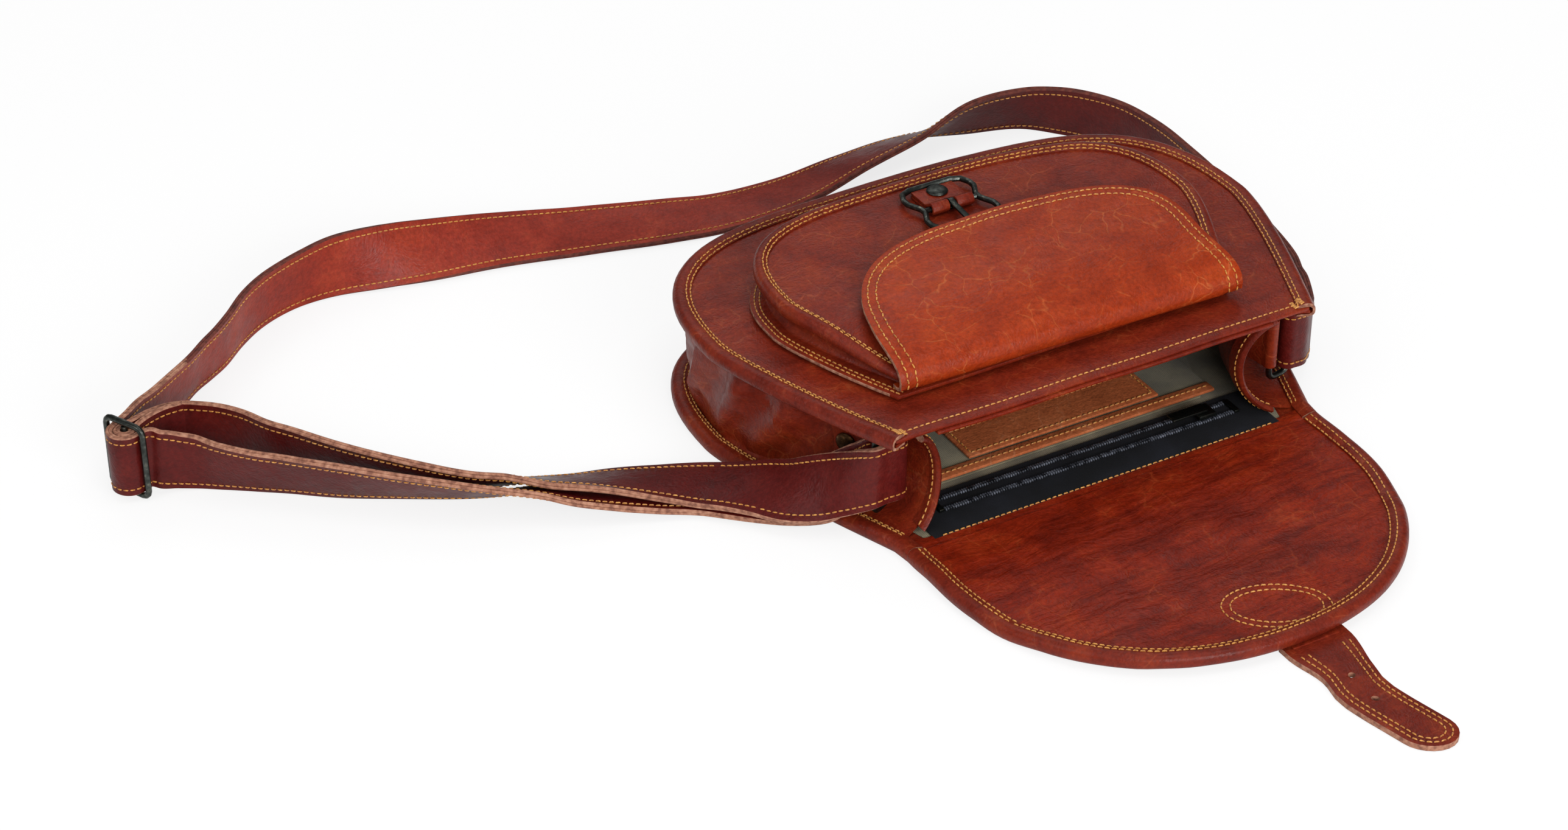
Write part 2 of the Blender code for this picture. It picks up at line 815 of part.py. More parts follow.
def make_buckle():
    bar_y = buckle_bar_place
    wrap = buckle_wire + gap + keeper_leather / 2
    far = bar_y + keeper_length
    low_layer = bar_height - wrap
    high_layer = low_layer + keeper_leather + gap
    slope_end = bar_y + 2 * wrap
    route = [(far, low_layer)]
    route += arc(bar_y, bar_height, wrap, 270, 90, arc_steps)
    route += [(slope_end, high_layer + gap), (far, high_layer + gap)]
    sides = (buckle_centre - keeper_half_width, buckle_centre + keeper_half_width)
    rows = [[Vector((x, y, z)) for x in sides] for y, z in route]
    keeper = skin("buckle_keeper", rows, keeper_leather, "body")
    slot_low = bar_height - wrap - keeper_leather
    slot = block(
        "keeper_slot",
        (buckle_centre - keeper_slot / 2, bar_y - wrap - cut_overrun, slot_low),
        (
            buckle_centre + keeper_slot / 2,
            bar_y - wrap - cut_overrun + keeper_slot_length + wrap,
            bar_height + wrap + keeper_leather,
        ),
        "body",
    )
    combine(keeper, slot, "DIFFERENCE")
    half_long = buckle_half_length
    wide = buckle_half_width
    waist = buckle_waist_half_width
    corner = buckle_corner
    chamfer = 0.3 * corner
    quarter = [
        (0.0, half_long),
        (wide - corner, half_long),
        (wide - chamfer, half_long - chamfer),
        (wide, half_long - corner),
        (wide, half_long - 1.6 * corner),
        (waist, 0.25 * corner),
        (waist, 0.0),
    ]
    right_top = quarter[1:]
    right_low = [(x, -y) for x, y in reversed(quarter[1:-1])]
    left = [(-x, y) for x, y in reversed(right_top + right_low)]
    loop = right_top + right_low + left
    points = [(buckle_centre + x, bar_y + y, bar_height) for x, y in loop]
    axis = (buckle_centre, bar_y, bar_height)
    frame = wire("buckle_frame", points, buckle_wire, "metal", closed=True)
    bar_ends = [
        (buckle_centre - waist, bar_y, bar_height),
        (buckle_centre + waist, bar_y, bar_height),
    ]
    bar = wire("buckle_bar", bar_ends, 0.93 * buckle_wire, "metal")
    combine(frame, bar, "UNION")
    move_origin(frame, axis)
    eye = buckle_wire + gap + tongue_strip / 2
    prong = [(bar_y - tongue_length, bar_height + 0.2 * tongue_strip)]
    prong += [(bar_y - 1.25 * eye, bar_height + 0.6 * eye)]
    prong += arc(bar_y, bar_height, eye, 120, -170, 2 * arc_steps)
    tongue_sides = (buckle_centre - tongue_width / 2, buckle_centre + tongue_width / 2)
    tongue_rows = [[Vector((x, y, z)) for x in tongue_sides] for y, z in prong]
    skin("buckle_tongue", tongue_rows, tongue_strip, "metal", pivot=axis)
    rivet_y = bar_y + 0.7 * keeper_length
    rivet_z = high_layer + gap + keeper_leather / 2 + gap
    cap("buckle_rivet", (buckle_centre, rivet_y, rivet_z), (0, 0, 1), "metal",
        rivet_cap_radius, rivet_cap_height)


def move_origin(item, pivot):
    """Put an object's origin on its joint's axis without moving its shape."""
    shift = Vector(pivot) - item.location
    item.data.transform(Matrix.Translation(-shift))
    item.location = item.location + shift


second_hinge_place = flap_hinge_place - flap_bridge_length


def flap_lift(point):
    """The closing strap under the flap lifts its tip."""
    share = (second_hinge_place - point.y) / (second_hinge_place - flap_tip_place)
    return Vector((0, 0, flap_tip_lift * max(share, 0.0)))


def flap_half_outline():
    """The flap's right edge from its side's end to its tip."""
    run = flap_side_end - flap_tip_place
    return bezier(
        (flap_half_width, flap_side_end),
        (flap_half_width, flap_side_end - flap_side_handle_share * run),
        (flap_tip_handle_share * flap_half_width, flap_tip_place),
        (0.0, flap_tip_place),
        3 * flap_steps,
    )


def flap_width_at(place):
    """Half the flap's width at a place along it."""
    if place >= flap_side_end:
        return flap_half_width
    outline = flap_half_outline()
    for (x0, y0), (x1, y1) in zip(outline, outline[1:]):
        if y1 <= place <= y0:
            return x0 + (x1 - x0) * (y0 - place) / (y0 - y1)
    return 0.0


def make_flap():
    facing_rim = back_rim_flange
    facing_low = inner_floor
    first_axis = (0.0, flap_hinge_place, flap_axis_height)
    near = flap_hinge_place - hinge_gap
    far = second_hinge_place + hinge_gap
    places = [near + (far - near) * i / 4 for i in range(5)]
    for name, rim_low, low, thick in (
        ("flap_bridge", back_rim_panel, 0.0, panel_leather),
        ("flap_bridge_facing", facing_rim, facing_low, gusset_leather),
    ):
        rows = []
        for place in places:
            rows.append(stepped_row(flap_width_at(place), place, rim_low, low, thick))
        skin(name, rows, thick, "body", pivot=first_axis)
    for name, direction in (("left", -1), ("right", 1)):
        half = rim_leather / 2
        profile = [
            (rim_width, half),
            (2 * rim_leather, half),
            (half, 2 * rim_leather),
            (half, rim_thick - 2 * rim_leather),
            (2 * rim_leather, rim_thick - half),
            (rim_width, rim_thick - half),
        ]
        rows = []
        for place in places:
            wide = flap_width_at(place)
            rows.append([Vector((direction * (wide - d), place, z)) for d, z in profile])
        skin("flap_bridge_binding_" + name, rows, rim_leather, "body", pivot=first_axis)
    second_axis = (0.0, second_hinge_place, flap_axis_height)
    start = second_hinge_place - hinge_gap
    curve = [point for point in flap_half_outline()[::3] if point[1] < start - rim_width / 2]
    right = [(flap_width_at(start), start)] + curve
    outline = [(-x, y) for x, y in right] + [(x, y) for x, y in reversed(right[:-1])]
    binding("flap_binding", outline, 0.0, rim_thick, rim_width, side=-1, lift=flap_lift,
            pivot=second_axis)
    panel("flap_front", outline, [(rim_slot_depth, back_rim_panel)], panel_leather, "body",
          side=-1, lift=flap_lift, pivot=second_axis)
    panel("flap_front_facing", outline, [(rim_slot_depth, facing_rim)], gusset_leather, "body",
          side=-1, lift=flap_lift, pivot=second_axis)


def make_closing_strap():
    round_end = closing_leather / 2
    axis_y = flap_tip_place - round_end
    base_near = axis_y + round_end + gap
    base_far = base_near + closing_base_length
    wide = closing_base_half_width
    narrow = closing_width / 2
    second_axis = (0.0, second_hinge_place, flap_axis_height)
    right = [(narrow, base_near), (narrow, base_near + 0.2 * closing_base_length)]
    right += bezier(
        (wide, base_near + 0.45 * closing_base_length),
        (wide, base_near + 0.8 * closing_base_length),
        (0.6 * wide, base_far),
        (0.0, base_far),
        arc_steps,
    )
    outline = [(closing_centre + x, y) for x, y in right]
    outline += [(closing_centre - x, y) for x, y in reversed(right[:-1])]
    under = closing_base_leather / 2 + gap
    points = [Vector((x, y, -under)) for x, y in outline]
    points = [point + flap_lift(point) for point in points]
    skin("closing_strap_base", [points], closing_base_leather, "body", closing_face=True,
         pivot=second_axis)
    tip = axis_y - closing_length
    nose = narrow
    strap_axis = (closing_centre, axis_y, round_end)
    rounded = bezier(
        (narrow, tip + nose), (narrow, tip + 0.45 * nose), (0.55 * nose, tip), (0.0, tip), arc_steps
    )
    right = [(narrow, axis_y)] + rounded
    outline = [(closing_centre + x, y) for x, y in right]
    outline += [(closing_centre - x, y) for x, y in reversed(right[:-1])]
    strap = plate("closing_strap", outline, 0.0, closing_leather, "body")
    barrel_data = cylinder(
        "strap_barrel", (closing_centre, axis_y, round_end), round_end, closing_width, (1, 0, 0)
    )
    barrel = bpy.data.objects.new("strap_barrel", barrel_data)
    parts.objects.link(barrel)
    combine(strap, barrel, "UNION")
    for i in range(2):
        place = axis_y - closing_hole_first - i * closing_hole_step
        data = cylinder(
            "strap_hole", (closing_centre, place, round_end), closing_hole_radius,
            closing_leather + cut_overrun, (0, 0, 1), 14
        )
        hole = bpy.data.objects.new("strap_hole", data)
        parts.objects.link(hole)
        combine(strap, hole, "DIFFERENCE")
    move_origin(strap, strap_axis)


slide_run = Vector((*slide_run_shares, 0.0))
slide_left = Vector((slide_left_x, slide_left_y, 0.0))
slide_middle = slide_left + slide_run * slide_reach / 2
slide_right = slide_left + slide_run * slide_reach
slide_height = slide_opening / 2 + 2 * slide_wire
ring_left_run = (11.0, -6.1)
ring_right_run = (13.1, 2.4)


def smooth_route(stations, steps):
    """A smooth curve through uneven stations, both ends included."""
    count = len(stations)
    spots = [tuple(2 * a - b for a, b in zip(stations[0], stations[1]))]
    spots += list(stations)
    spots += [tuple(2 * a - b for a, b in zip(stations[-1], stations[-2]))]
    spans = []
    for here, there in zip(spots, spots[1:]):
        spans.append(math.dist(here[:3], there[:3]) ** 0.5)
    route = []
    for i in range(1, count):
        before, span, after = spans[i - 1 : i + 2]
        for k in range(steps):
            t = k / steps
            spot = []
            for a, b, c, d in zip(*spots[i - 1 : i + 3]):
                leave = span * ((b - a) / before - (c - a) / (before + span)) + c - b
                arrive = span * ((d - c) / after - (d - b) / (span + after)) + c - b
                bend = 3 * (c - b) - 2 * leave - arrive
                twist = leave + arrive - 2 * (c - b)
                spot.append(b + leave * t + bend * t * t + twist * t**3)
            route.append(tuple(spot))
    route.append(tuple(stations[-1]))
    return route


def directions(route, index, bar=None):
    """The way along a route at one of its points, and the way across and square to the strap.

    Close to a bar the strap's width stays level with it, though the strap climbs.
    """
    before = route[max(index - 1, 0)]
    after = route[min(index + 1, len(route) - 1)]
    run = Vector((after[0] - before[0], after[1] - before[1], after[2] - before[2]))
    if bar is not None:
        reach = math.dist(route[index][:2], bar[:2])
        run.z *= min(max(reach / strap_width - slope_start_share, 0.0), 1.0)
    run.normalize()
    level = Vector((-run.y, run.x, 0.0))
    level.normalize()
    up = run.cross(level)
    angle = math.radians(route[index][3])
    across = level * math.cos(angle) + up * math.sin(angle)
    return run, across, run.cross(across)


def ribbon_rows(route, width, bar=None, columns_across=2):
    """Rows across a strap. Each route point is x, y, z and the turn of its width in degrees.

    At a turn of 90 or 270 the strap stands on its edge, and at 180 it lies flat.
    """
    rows = []
    for i, (x, y, z, turn) in enumerate(route):
        across = directions(route, i, bar)[1]
        spot = Vector((x, y, z))
        row = []
        for k in range(columns_across):
            row.append(spot + across * width * (k / (columns_across - 1) - 0.5))
        rows.append(row)
    return rows


def offset_route(route, distance):
    """Move a strap's route square to its face."""
    moved = []
    for i, (x, y, z, turn) in enumerate(route):
        face = directions(route, i)[2]
        spot = Vector((x, y, z)) + face * distance
        moved.append((spot.x, spot.y, spot.z, turn))
    return moved


def stand(turn, lift):
    """The height of a strap's middle when its lowest edge is lifted this far off the floor."""
    angle = math.radians(turn)
    return abs(math.sin(angle)) * strap_width / 2 + abs(math.cos(angle)) * strap_leather / 2 + lift


def strap_place(share):
    """How far along X a share of the strap's span lies.

    Near the bag and near the slider the strap keeps its place beside them, and the run between
    them takes up what the strap is longer.
    """
    reach = abs(share) * strap_table_span
    near = strap_near_share * strap_table_span
    far = strap_far_share * strap_table_span
    taken = min(max((reach - near) / (far - near), 0.0), 1.0)
    centre = min(reach / (near / 2), 1.0)
    return math.copysign(reach + strap_growth * taken + rim_growth * centre, share)


def stations_from(table):
    """Places in shares of the strap's span and the bag's length, with the strap's turn and lift."""
    placed = []
    for x_share, y_share, turn, lift_share in table:
        height = stand(turn, lift_share * strap_leather) + gap
        placed.append((strap_place(x_share), y_share * body_bottom, height, turn))
    return placed


def turned_back(stations):
    """The same strap travelled the other way."""
    return [(x, y, z, 180 - turn) for x, y, z, turn in reversed(stations)]


right_side_shares = (
    (0.3725, 0.2537, 270, 0.69),
    (0.3835, 0.3054, 270, 0.19),
    (0.3969, 0.3645, 270, 0.00),
    (0.4079, 0.4532, 270, 0.00),
    (0.4177, 0.5665, 270, 0.00),
    (0.4287, 0.7389, 270, 0.00),
    (0.4360, 0.9113, 269, 0.00),
    (0.4384, 1.0591, 268, 0.00),
    (0.4299, 1.1970, 265, 0.00),
    (0.4091, 1.2906, 261, 0.00),
    (0.3810, 1.3621, 257, 0.00),
    (0.3444, 1.4212, 249, 0.00),
    (0.2743, 1.4557, 240, 0.00),
    (0.1961, 1.4778, 210, 0.00),
    (0.1001, 1.4655, 197, 0.00),
    (0.0000, 1.4399, 184, 0.00),
    (-0.1038, 1.4360, 175, 0.00),
    (-0.1720, 1.4567, 169, 0.00),
)
left_side_shares = (
    (-0.2936, 1.5148, 162, 0.00),
    (-0.3925, 1.5581, 152, 0.00),
    (-0.4768, 1.5704, 135, 0.00),
    (-0.5398, 1.5803, 116, 0.00),
    (-0.5984, 1.5901, 99, 0.00),
    (-0.6400, 1.5813, 88, 0.00),
    (-0.6729, 1.5616, 84, 0.00),
    (-0.7098, 1.5271, 82.5, 0.00),
    (-0.7455, 1.4754, 82, 0.00),
    (-0.7797, 1.4079, 80, 0.00),
    (-0.8036, 1.3695, 77, 0.00),
    (-0.8276, 1.3360, 75, 0.00),
    (-0.8512, 1.2956, 75, 0.00),
    (-0.8842, 1.2438, 77, 0.00),
    (-0.9172, 1.1872, 80, 0.24),
    (-0.9399, 1.1478, 84, 0.60),
    (-0.9592, 1.1050, 88, 0.92),
)
front_layer_shares = (
    (-0.9500, 1.0130, 90, 1.06),
    (-0.9394, 0.9980, 91, 0.80),
    (-0.9228, 0.9833, 95, 0.41),
    (-0.9013, 0.9606, 99, 0.00),
    (-0.8793, 0.9187, 107, 0.00),
    (-0.8488, 0.8645, 113, 0.00),
    (-0.8256, 0.8281, 115, 0.00),
    (-0.7792, 0.7493, 119, 0.00),
    (-0.7306, 0.6793, 126.5, 0.00),
    (-0.6715, 0.6000, 134.5, 0.00),
    (-0.6299, 0.5547, 142, 0.00),
    (-0.5750, 0.5103, 154, 0.00),
    (-0.5401, 0.4709, 161, 0.00),
    (-0.5017, 0.4409, 168, 0.00),
    (-0.4624, 0.4099, 174, 0.05),
    (-0.4196, 0.3695, 182, 0.55),
    (-0.3896, 0.3143, 190, 0.50),
    (-0.3664, 0.2640, 199, 0.58),
    (-0.3428, 0.2175, 213, 0.50),
    (-0.3117, 0.1586, 233, 1.17),
    (-0.2926, 0.1212, 255, 3.30),
    (-0.2802, 0.0931, 268, 5.40),
)
rear_layer_shares = (
    (-0.9377, 1.0857, 90, 0.88),
    (-0.9160, 1.0966, 90, 0.56),
    (-0.8950, 1.0956, 90, 0.19),
    (-0.8796, 1.0837, 90, 0.00),
    (-0.8574, 1.0473, 90, 0.00),
    (-0.8371, 0.9990, 93, 0.00),
    (-0.8185, 0.9360, 98, 0.00),
    (-0.7970, 0.8887, 104, 0.00),
    (-0.7748, 0.8389, 110, 0.00),
    (-0.7535, 0.7911, 114, 0.00),
    (-0.7318, 0.7463, 118, 0.00),
    (-0.6881, 0.6670, 125, 0.00),
    (-0.6424, 0.6049, 134, 0.00),
    (-0.6068, 0.5808, 142, 0.00),
    (-0.5712, 0.5478, 150, 0.00),
    (-0.5335, 0.5044, 156, 0.50),
    (-0.4963, 0.4670, 164, 0.92),
    (-0.4604, 0.4266, 172, 1.35),
    (-0.4201, 0.3719, 182, 1.83),
    (-0.3908, 0.3128, 189, 1.97),
    (-0.3688, 0.2586, 200, 1.95),
    (-0.3504, 0.2010, 214, 1.90),
    (-0.3222, 0.1330, 233, 2.70),
    (-0.3030, 0.0740, 258, 4.30),
    (-0.2885, 0.0430, 269, 5.50),
)
tab_station_shares = (0.9, 0.72, 0.54, 0.36)
rivet_share = 0.72
slope_start_share = 0.4

ring_mount = {
    "left": (-1, ring_left_x, ring_left_y, ring_left_run),
    "right": (1, ring_right_x, ring_right_y, ring_right_run),
}


def ring_bars(name):
    """The ring's inner bar, held by its tab, and its outer bar, which carries the strap."""
    sign, x, y, run = ring_mount[name]
    inner = Vector((x, y, ring_height))
    outer = inner + Vector((sign * run[0], run[1], 0.0)).normalized() * ring_reach
    return sign, inner, outer


def round_bar(centre, radius, first, last, height, turn, steps=arc_steps):
    """Stations round an upright bar. Angles are in degrees from +X."""
    points = []
    for k in range(steps + 1):
        angle = math.radians(first + (last - first) * k / steps)
        points.append(
            (centre.x + radius * math.cos(angle), centre.y + radius * math.sin(angle), height, turn)
        )
    return points


def cut_away(item, low, high):
    """Trim a strap square to the bag's side, where it hinges."""
    box = block(item.name + "_cut", low, high, "strap")
    combine(item, box, "DIFFERENCE")


cut_low = -cut_overrun
cut_high = strap_width + strap_width


def make_strap():
    pivot = (0.0, swing_place, swing_height)
    raised = slide_height - 2 * gap
    wrap = slide_wire + gap + strap_leather + gap + strap_leather / 2
    heading = math.degrees(math.atan2(-slide_run.y, -slide_run.x))
    turn_round = round_bar(slide_middle, wrap, heading, heading + 180, raised, 90)
    front = stations_from(front_layer_shares)
    rear = stations_from(rear_layer_shares)
    lead = stations_from(right_side_shares[1:]) + stations_from(left_side_shares)
    shared = len(front) - 4
    route = smooth_route(lead + turn_round + front[:shared], 3)
    strap = skin("strap_long", ribbon_rows(route, strap_width), strap_leather, "strap", pivot=pivot)
    side = rim_half_width + side_clearance
    cut_away(strap, (-side, -side, cut_low), (side, 0.6 * body_bottom, cut_high))
    fold = slide_wire + gap + strap_leather / 2
    fold_round = round_bar(slide_middle, fold, 108, 300, raised, 90)
    tail = []
    for x_share, y_share in strap_tail_shares:
        tail.append((strap_place(x_share), y_share * body_bottom, raised, 90))
    back = turned_back(rear[:-4])
    route = smooth_route(back, 3)[:-1] + smooth_route([back[-1]] + fold_round + tail, 2)
    strap = skin("strap_return", ribbon_rows(route, strap_width), strap_leather, "strap",
                 pivot=pivot)
    cut_away(strap, (-side, -side, cut_low), (side, 0.6 * body_bottom, cut_high))
    make_strap_loop(front, rear, side)
    make_strap_end(side)


def make_strap_loop(front, rear, side):
    """The short run that stays with the bag, threaded through the left ring."""
    sign, inner, outer = ring_bars("left")
    height = ring_height + strap_in_ring
    bight = Vector((outer.x + 0.82 * ring_reach, outer.y - 0.18 * ring_reach, 0.0))
    radius = 0.88 * strap_leather
    approach = [
        (outer.x + 0.44 * ring_reach, outer.y + 0.16 * ring_reach, height, 270),
        (outer.x + 0.70 * ring_reach, outer.y + 0.05 * ring_reach, height, 270),
    ]
    leave = [
        (outer.x + 0.66 * ring_reach, outer.y - 0.42 * ring_reach, height, 270),
        (outer.x + 0.28 * ring_reach, outer.y - 0.40 * ring_reach, height, 270),
    ]
    turn_round = round_bar(bight, radius, 60, -60, height, 270, 3)
    far = front[-8:] + approach
    near = leave + [(x, y, z, 540 - turn) for x, y, z, turn in reversed(rear[-7:])]
    stations = far + turn_round + near
    route = smooth_route(stations, 2)
    loop = skin("strap_loop_left", ribbon_rows(route, strap_width, outer), strap_leather, "strap")
    outside = side - 2 * gap
    cut_away(loop, (-strap_span, -side, cut_low), (-outside, body_bottom, cut_high))


def make_strap_end(side):
    """The short run that stays with the bag, looped round the right ring."""
    sign, inner, outer = ring_bars("right")
    height = ring_height - strap_in_ring / 2
    fold = ring_wire + 2 * gap + strap_leather / 2
    reach = ring_reach
    main = list(reversed(stations_from(right_side_shares[:5])))
    main = [(x, y, z, -90) for x, y, z, turn in main]
    main += [
        (outer.x + 1.95 * reach, outer.y + 1.33 * reach, height - 0.34 * strap_width, -90),
        (outer.x + 1.10 * reach, outer.y + 0.36 * reach, height - 0.14 * strap_width, -90),
        (outer.x + 0.52 * reach, outer.y - 0.21 * reach, height - 0.03 * strap_width, -90),
    ]
    turn_round = round_bar(outer, fold, 285, 100, height, -90)
    tail = [
        (outer.x + 0.46 * reach, outer.y + 0.46 * reach, height, -90),
        (outer.x + 0.95 * reach, outer.y + 0.88 * reach, height - 0.10 * strap_width, -90),
        (outer.x + 1.55 * reach, outer.y + 1.58 * reach, height - 0.24 * strap_width, -90),
    ]
    route = smooth_route(main + turn_round + tail, 2)
    end = skin("strap_end_right", ribbon_rows(route, strap_width, outer), strap_leather, "strap")
    outside = side - 2 * gap
    cut_away(end, (outside, -side, cut_low), (strap_span, body_bottom, cut_high))


def rounded_rectangle(centre, run, half_long, half_tall, corner):
    """The points of a wire frame that stands upright in the plane of a level direction."""
    points = []
    for turn, (sx, sz) in enumerate(((1, 1), (-1, 1), (-1, -1), (1, -1))):
        for k in range(4):
            angle = math.radians(90 * turn + 30 * k)
            along = sx * (half_long - corner) + corner * math.cos(angle)
            height = sz * (half_tall - corner) + corner * math.sin(angle)
            spot = centre + run * along
            points.append((spot.x, spot.y, spot.z + height))
    return points


def make_rings():
    for name in ("left", "right"):
        sign, inner, outer = ring_bars(name)
        run = (outer - inner).normalized()
        centre = (inner + outer) / 2
        points = rounded_rectangle(
            centre, run, ring_reach / 2, ring_opening / 2 + ring_wire, ring_corner
        )
        wire("ring_" + name, points, ring_wire, "metal", closed=True, pivot=inner)
        make_tab(name, sign, inner)


def wall_face(place, sign, height):
    """Where the gusset's outer face lies at a place below the mouth."""
    count = len(back_outline)
    half = range(count // 2) if sign < 0 else range(count - 1, count // 2, -1)
    spots = []
    for index in half:
        column = wall_column(index)[1:-1]
        for low, high in zip(column, column[1:]):
            if low.z <= height <= high.z:
                spots.append(low.lerp(high, (height - low.z) / (high.z - low.z)))
                break
    for here, there in zip(spots, spots[1:]):
        if here.y <= place <= there.y:
            spot = here.lerp(there, (place - here.y) / (there.y - here.y))
            return spot.x + sign * gusset_leather / 2
    return spots[0].x


def make_tab(name, sign, bar):
    """A leather tab folded round the ring's inner bar and riveted to the gusset."""
    fold = ring_wire + gap + tab_leather / 2
    layer = tab_leather + gap
    stations = []
    anchor = bar.x - sign * fold
    for share in tab_station_shares:
        place = bar.y + share * tab_length
        x = wall_face(place, sign, ring_height) + sign * (tab_clearance + tab_leather / 2)
        if len(stations) > 1:
            taut = anchor + (stations[1][0] - anchor) * share / tab_station_shares[1]
            x = sign * max(sign * x, sign * taut)
        stations.append((x, place, ring_height, 90))
    inner = smooth_route(stations, 2)
    outer = list(reversed(offset_route(inner, -sign * layer)))
    first, last = (15, -195) if sign < 0 else (165, 375)
    turn_round = round_bar(bar, fold, first, last, ring_height, 90)
    route = smooth_route(inner + turn_round + outer, 2)
    rows = []
    for x, y, z, turn in route:
        near = min(max((y - bar.y) / (0.6 * tab_length), 0.0), 1.0)
        row = []
        for share in (-0.5, -0.25, 0.0, 0.25, 0.5):
            level = z + share * tab_width
            bow = wall_face(y, sign, level) - wall_face(y, sign, z) if near > 0 else 0.0
            row.append(Vector((x + near * bow, y, level)))
        rows.append(row)
    skin("ring_tab_" + name, rows, tab_leather, "body")
    index = round(rivet_share * (len(outer) - 1))
    face = directions(outer, index)[2] * sign
    spot = Vector(outer[index][:3])
    rise = 0.0
    for row in rows[-2 * len(outer):]:
        for point in row:
            if (point - spot).length < 1.4 * rivet_cap_radius:
                rise = max(rise, (point - spot).dot(face))
    spot = spot + face * (rise + tab_leather / 2 + gap)
    cap("tab_rivet_" + name, spot, face, "metal", rivet_cap_radius, rivet_cap_height)


def make_slider():
    axis = (0.0, swing_place, swing_height)
    centre = (slide_left + slide_right) / 2
    centre.z = slide_height
    points = rounded_rectangle(
        centre, slide_run, slide_reach / 2, slide_opening / 2 + slide_wire, slide_corner
    )
    wire("slide_frame", points, slide_wire, "metal", closed=True, pivot=axis)
    bar_half = slide_opening / 2 - gap
    ends = [
        (slide_middle.x, slide_middle.y, slide_height - bar_half),
        (slide_middle.x, slide_middle.y, slide_height + bar_half),
    ]
    wire("slide_bar", ends, slide_wire, "metal", pivot=axis)


make_body()
make_gusset()
make_zip()
make_inner_pockets()
make_pocket()
make_pocket_flap()
make_buckle()
make_flap()
make_closing_strap()
make_strap()
make_rings()
make_slider()
bpy.context.view_layer.update()
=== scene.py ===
# A leather saddle bag on its back, flap thrown open, as its panels, seams, strap and fittings.
# Lengths are in metres, written as millimetres times MM. X runs along the mouth, and +Y to the
# bag's bottom.
import contextlib
import math
import random

import bmesh
import bpy
from mathutils import Matrix, Vector, noise
from mathutils.bvhtree import BVHTree


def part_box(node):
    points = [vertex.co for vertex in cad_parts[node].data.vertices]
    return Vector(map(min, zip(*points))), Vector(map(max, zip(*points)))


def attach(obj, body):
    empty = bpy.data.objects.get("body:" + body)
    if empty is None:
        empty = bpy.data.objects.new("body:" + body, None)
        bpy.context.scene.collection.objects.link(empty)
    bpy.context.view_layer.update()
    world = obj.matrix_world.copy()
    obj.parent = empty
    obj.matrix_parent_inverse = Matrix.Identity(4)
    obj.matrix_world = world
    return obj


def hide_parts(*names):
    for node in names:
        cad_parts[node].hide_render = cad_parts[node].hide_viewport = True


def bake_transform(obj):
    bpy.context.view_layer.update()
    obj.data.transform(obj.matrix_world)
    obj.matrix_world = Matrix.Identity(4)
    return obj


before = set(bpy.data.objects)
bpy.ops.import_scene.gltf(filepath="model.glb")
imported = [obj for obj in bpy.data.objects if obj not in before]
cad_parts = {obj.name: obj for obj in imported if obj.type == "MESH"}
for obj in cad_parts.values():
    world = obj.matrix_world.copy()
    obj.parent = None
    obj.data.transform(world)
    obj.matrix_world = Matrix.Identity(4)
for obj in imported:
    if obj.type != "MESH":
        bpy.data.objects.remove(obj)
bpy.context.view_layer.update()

MM = 0.001
chance = random.Random(26)

# Sizes repeated from the solids
gap = 0.3 * MM
mouth_half = 116.0 * MM
mouth_place = -5.0 * MM
rim_half = 151.4 * MM
rim_wide_place = 110.0 * MM
body_bottom = 203.0 * MM
front_shift = -1.5 * MM
front_drop = 6.5 * MM
pocket_centre = -5.0 * MM
pocket_half = 114.5 * MM
pocket_mouth_half = 90.0 * MM
pocket_mouth_place = 24.0 * MM
pocket_wide_place = 94.0 * MM
pocket_bottom = 163.0 * MM
pocket_flap_half = 90.0 * MM
pocket_flap_start = 22.15 * MM
pocket_flap_end = 109.0 * MM
pocket_flap_skew = 7.0 * MM
flap_hinge = -15.0 * MM
second_hinge = -83.0 * MM
hinge_slit = 0.4 * MM
flap_side_end = -43.0 * MM
flap_half = 114.8 * MM
flap_tip = -155.7 * MM
closing_centre = 9.5 * MM
strap_width = 32.0 * MM
strap_thick = 3.2 * MM
strap_span = 409.4 * MM
side_cut = 159.6 * MM
ring_wire = 1.6 * MM
ring_reach = 12.6 * MM
ring_height = 31.9 * MM
strap_in_ring = 3.0 * MM
ring_left_middle = (-104.4 * MM, 19.5 * MM)
ring_right_middle = (105.5 * MM, 14.6 * MM)
slide_wire = 1.6 * MM
slide_reach = 22.0 * MM
slide_opening = 34.5 * MM
slide_left = (-403.3 * MM, 220.4 * MM)

# Thread and seams
thread_radius = 0.36 * MM
stitch_pitch = 3.1 * MM
stitch_share = 0.74
seam_sink = 0.12 * MM
outer_lift = -0.12 * MM
rim_lean = 0.12
flap_lean = 0.16
# two rows run side by side, each at its distance from the piece's edge
rim_seams = (6.5 * MM, 8.4 * MM)
pocket_rim_seams = (4.6 * MM, 6.4 * MM)
flap_rim_seams = (5.6 * MM, 8.6 * MM)
pocket_flap_seams = (3.4 * MM, 7.8 * MM)
closing_seams = (2.6 * MM, 5.4 * MM)
flange_seams = (2.2 * MM, 4.6 * MM)

weld = 0.01 * MM
flat_angle = math.radians(0.6)
edge_angle = math.radians(38)
smooth_angle = math.radians(42)


def linear(text):
    """An sRGB hex colour as linear light."""
    shares = [int(text[i : i + 2], 16) / 255 for i in (1, 3, 5)]
    return [c / 12.92 if c <= 0.04045 else ((c + 0.055) / 1.055) ** 2.4 for c in shares] + [1.0]


def fill(tree, node, links):
    """Gives a node's inputs their values or links."""
    for key, value in links.items():
        if isinstance(value, bpy.types.NodeSocket):
            tree.links.new(value, node.inputs[key])
        else:
            node.inputs[key].default_value = value


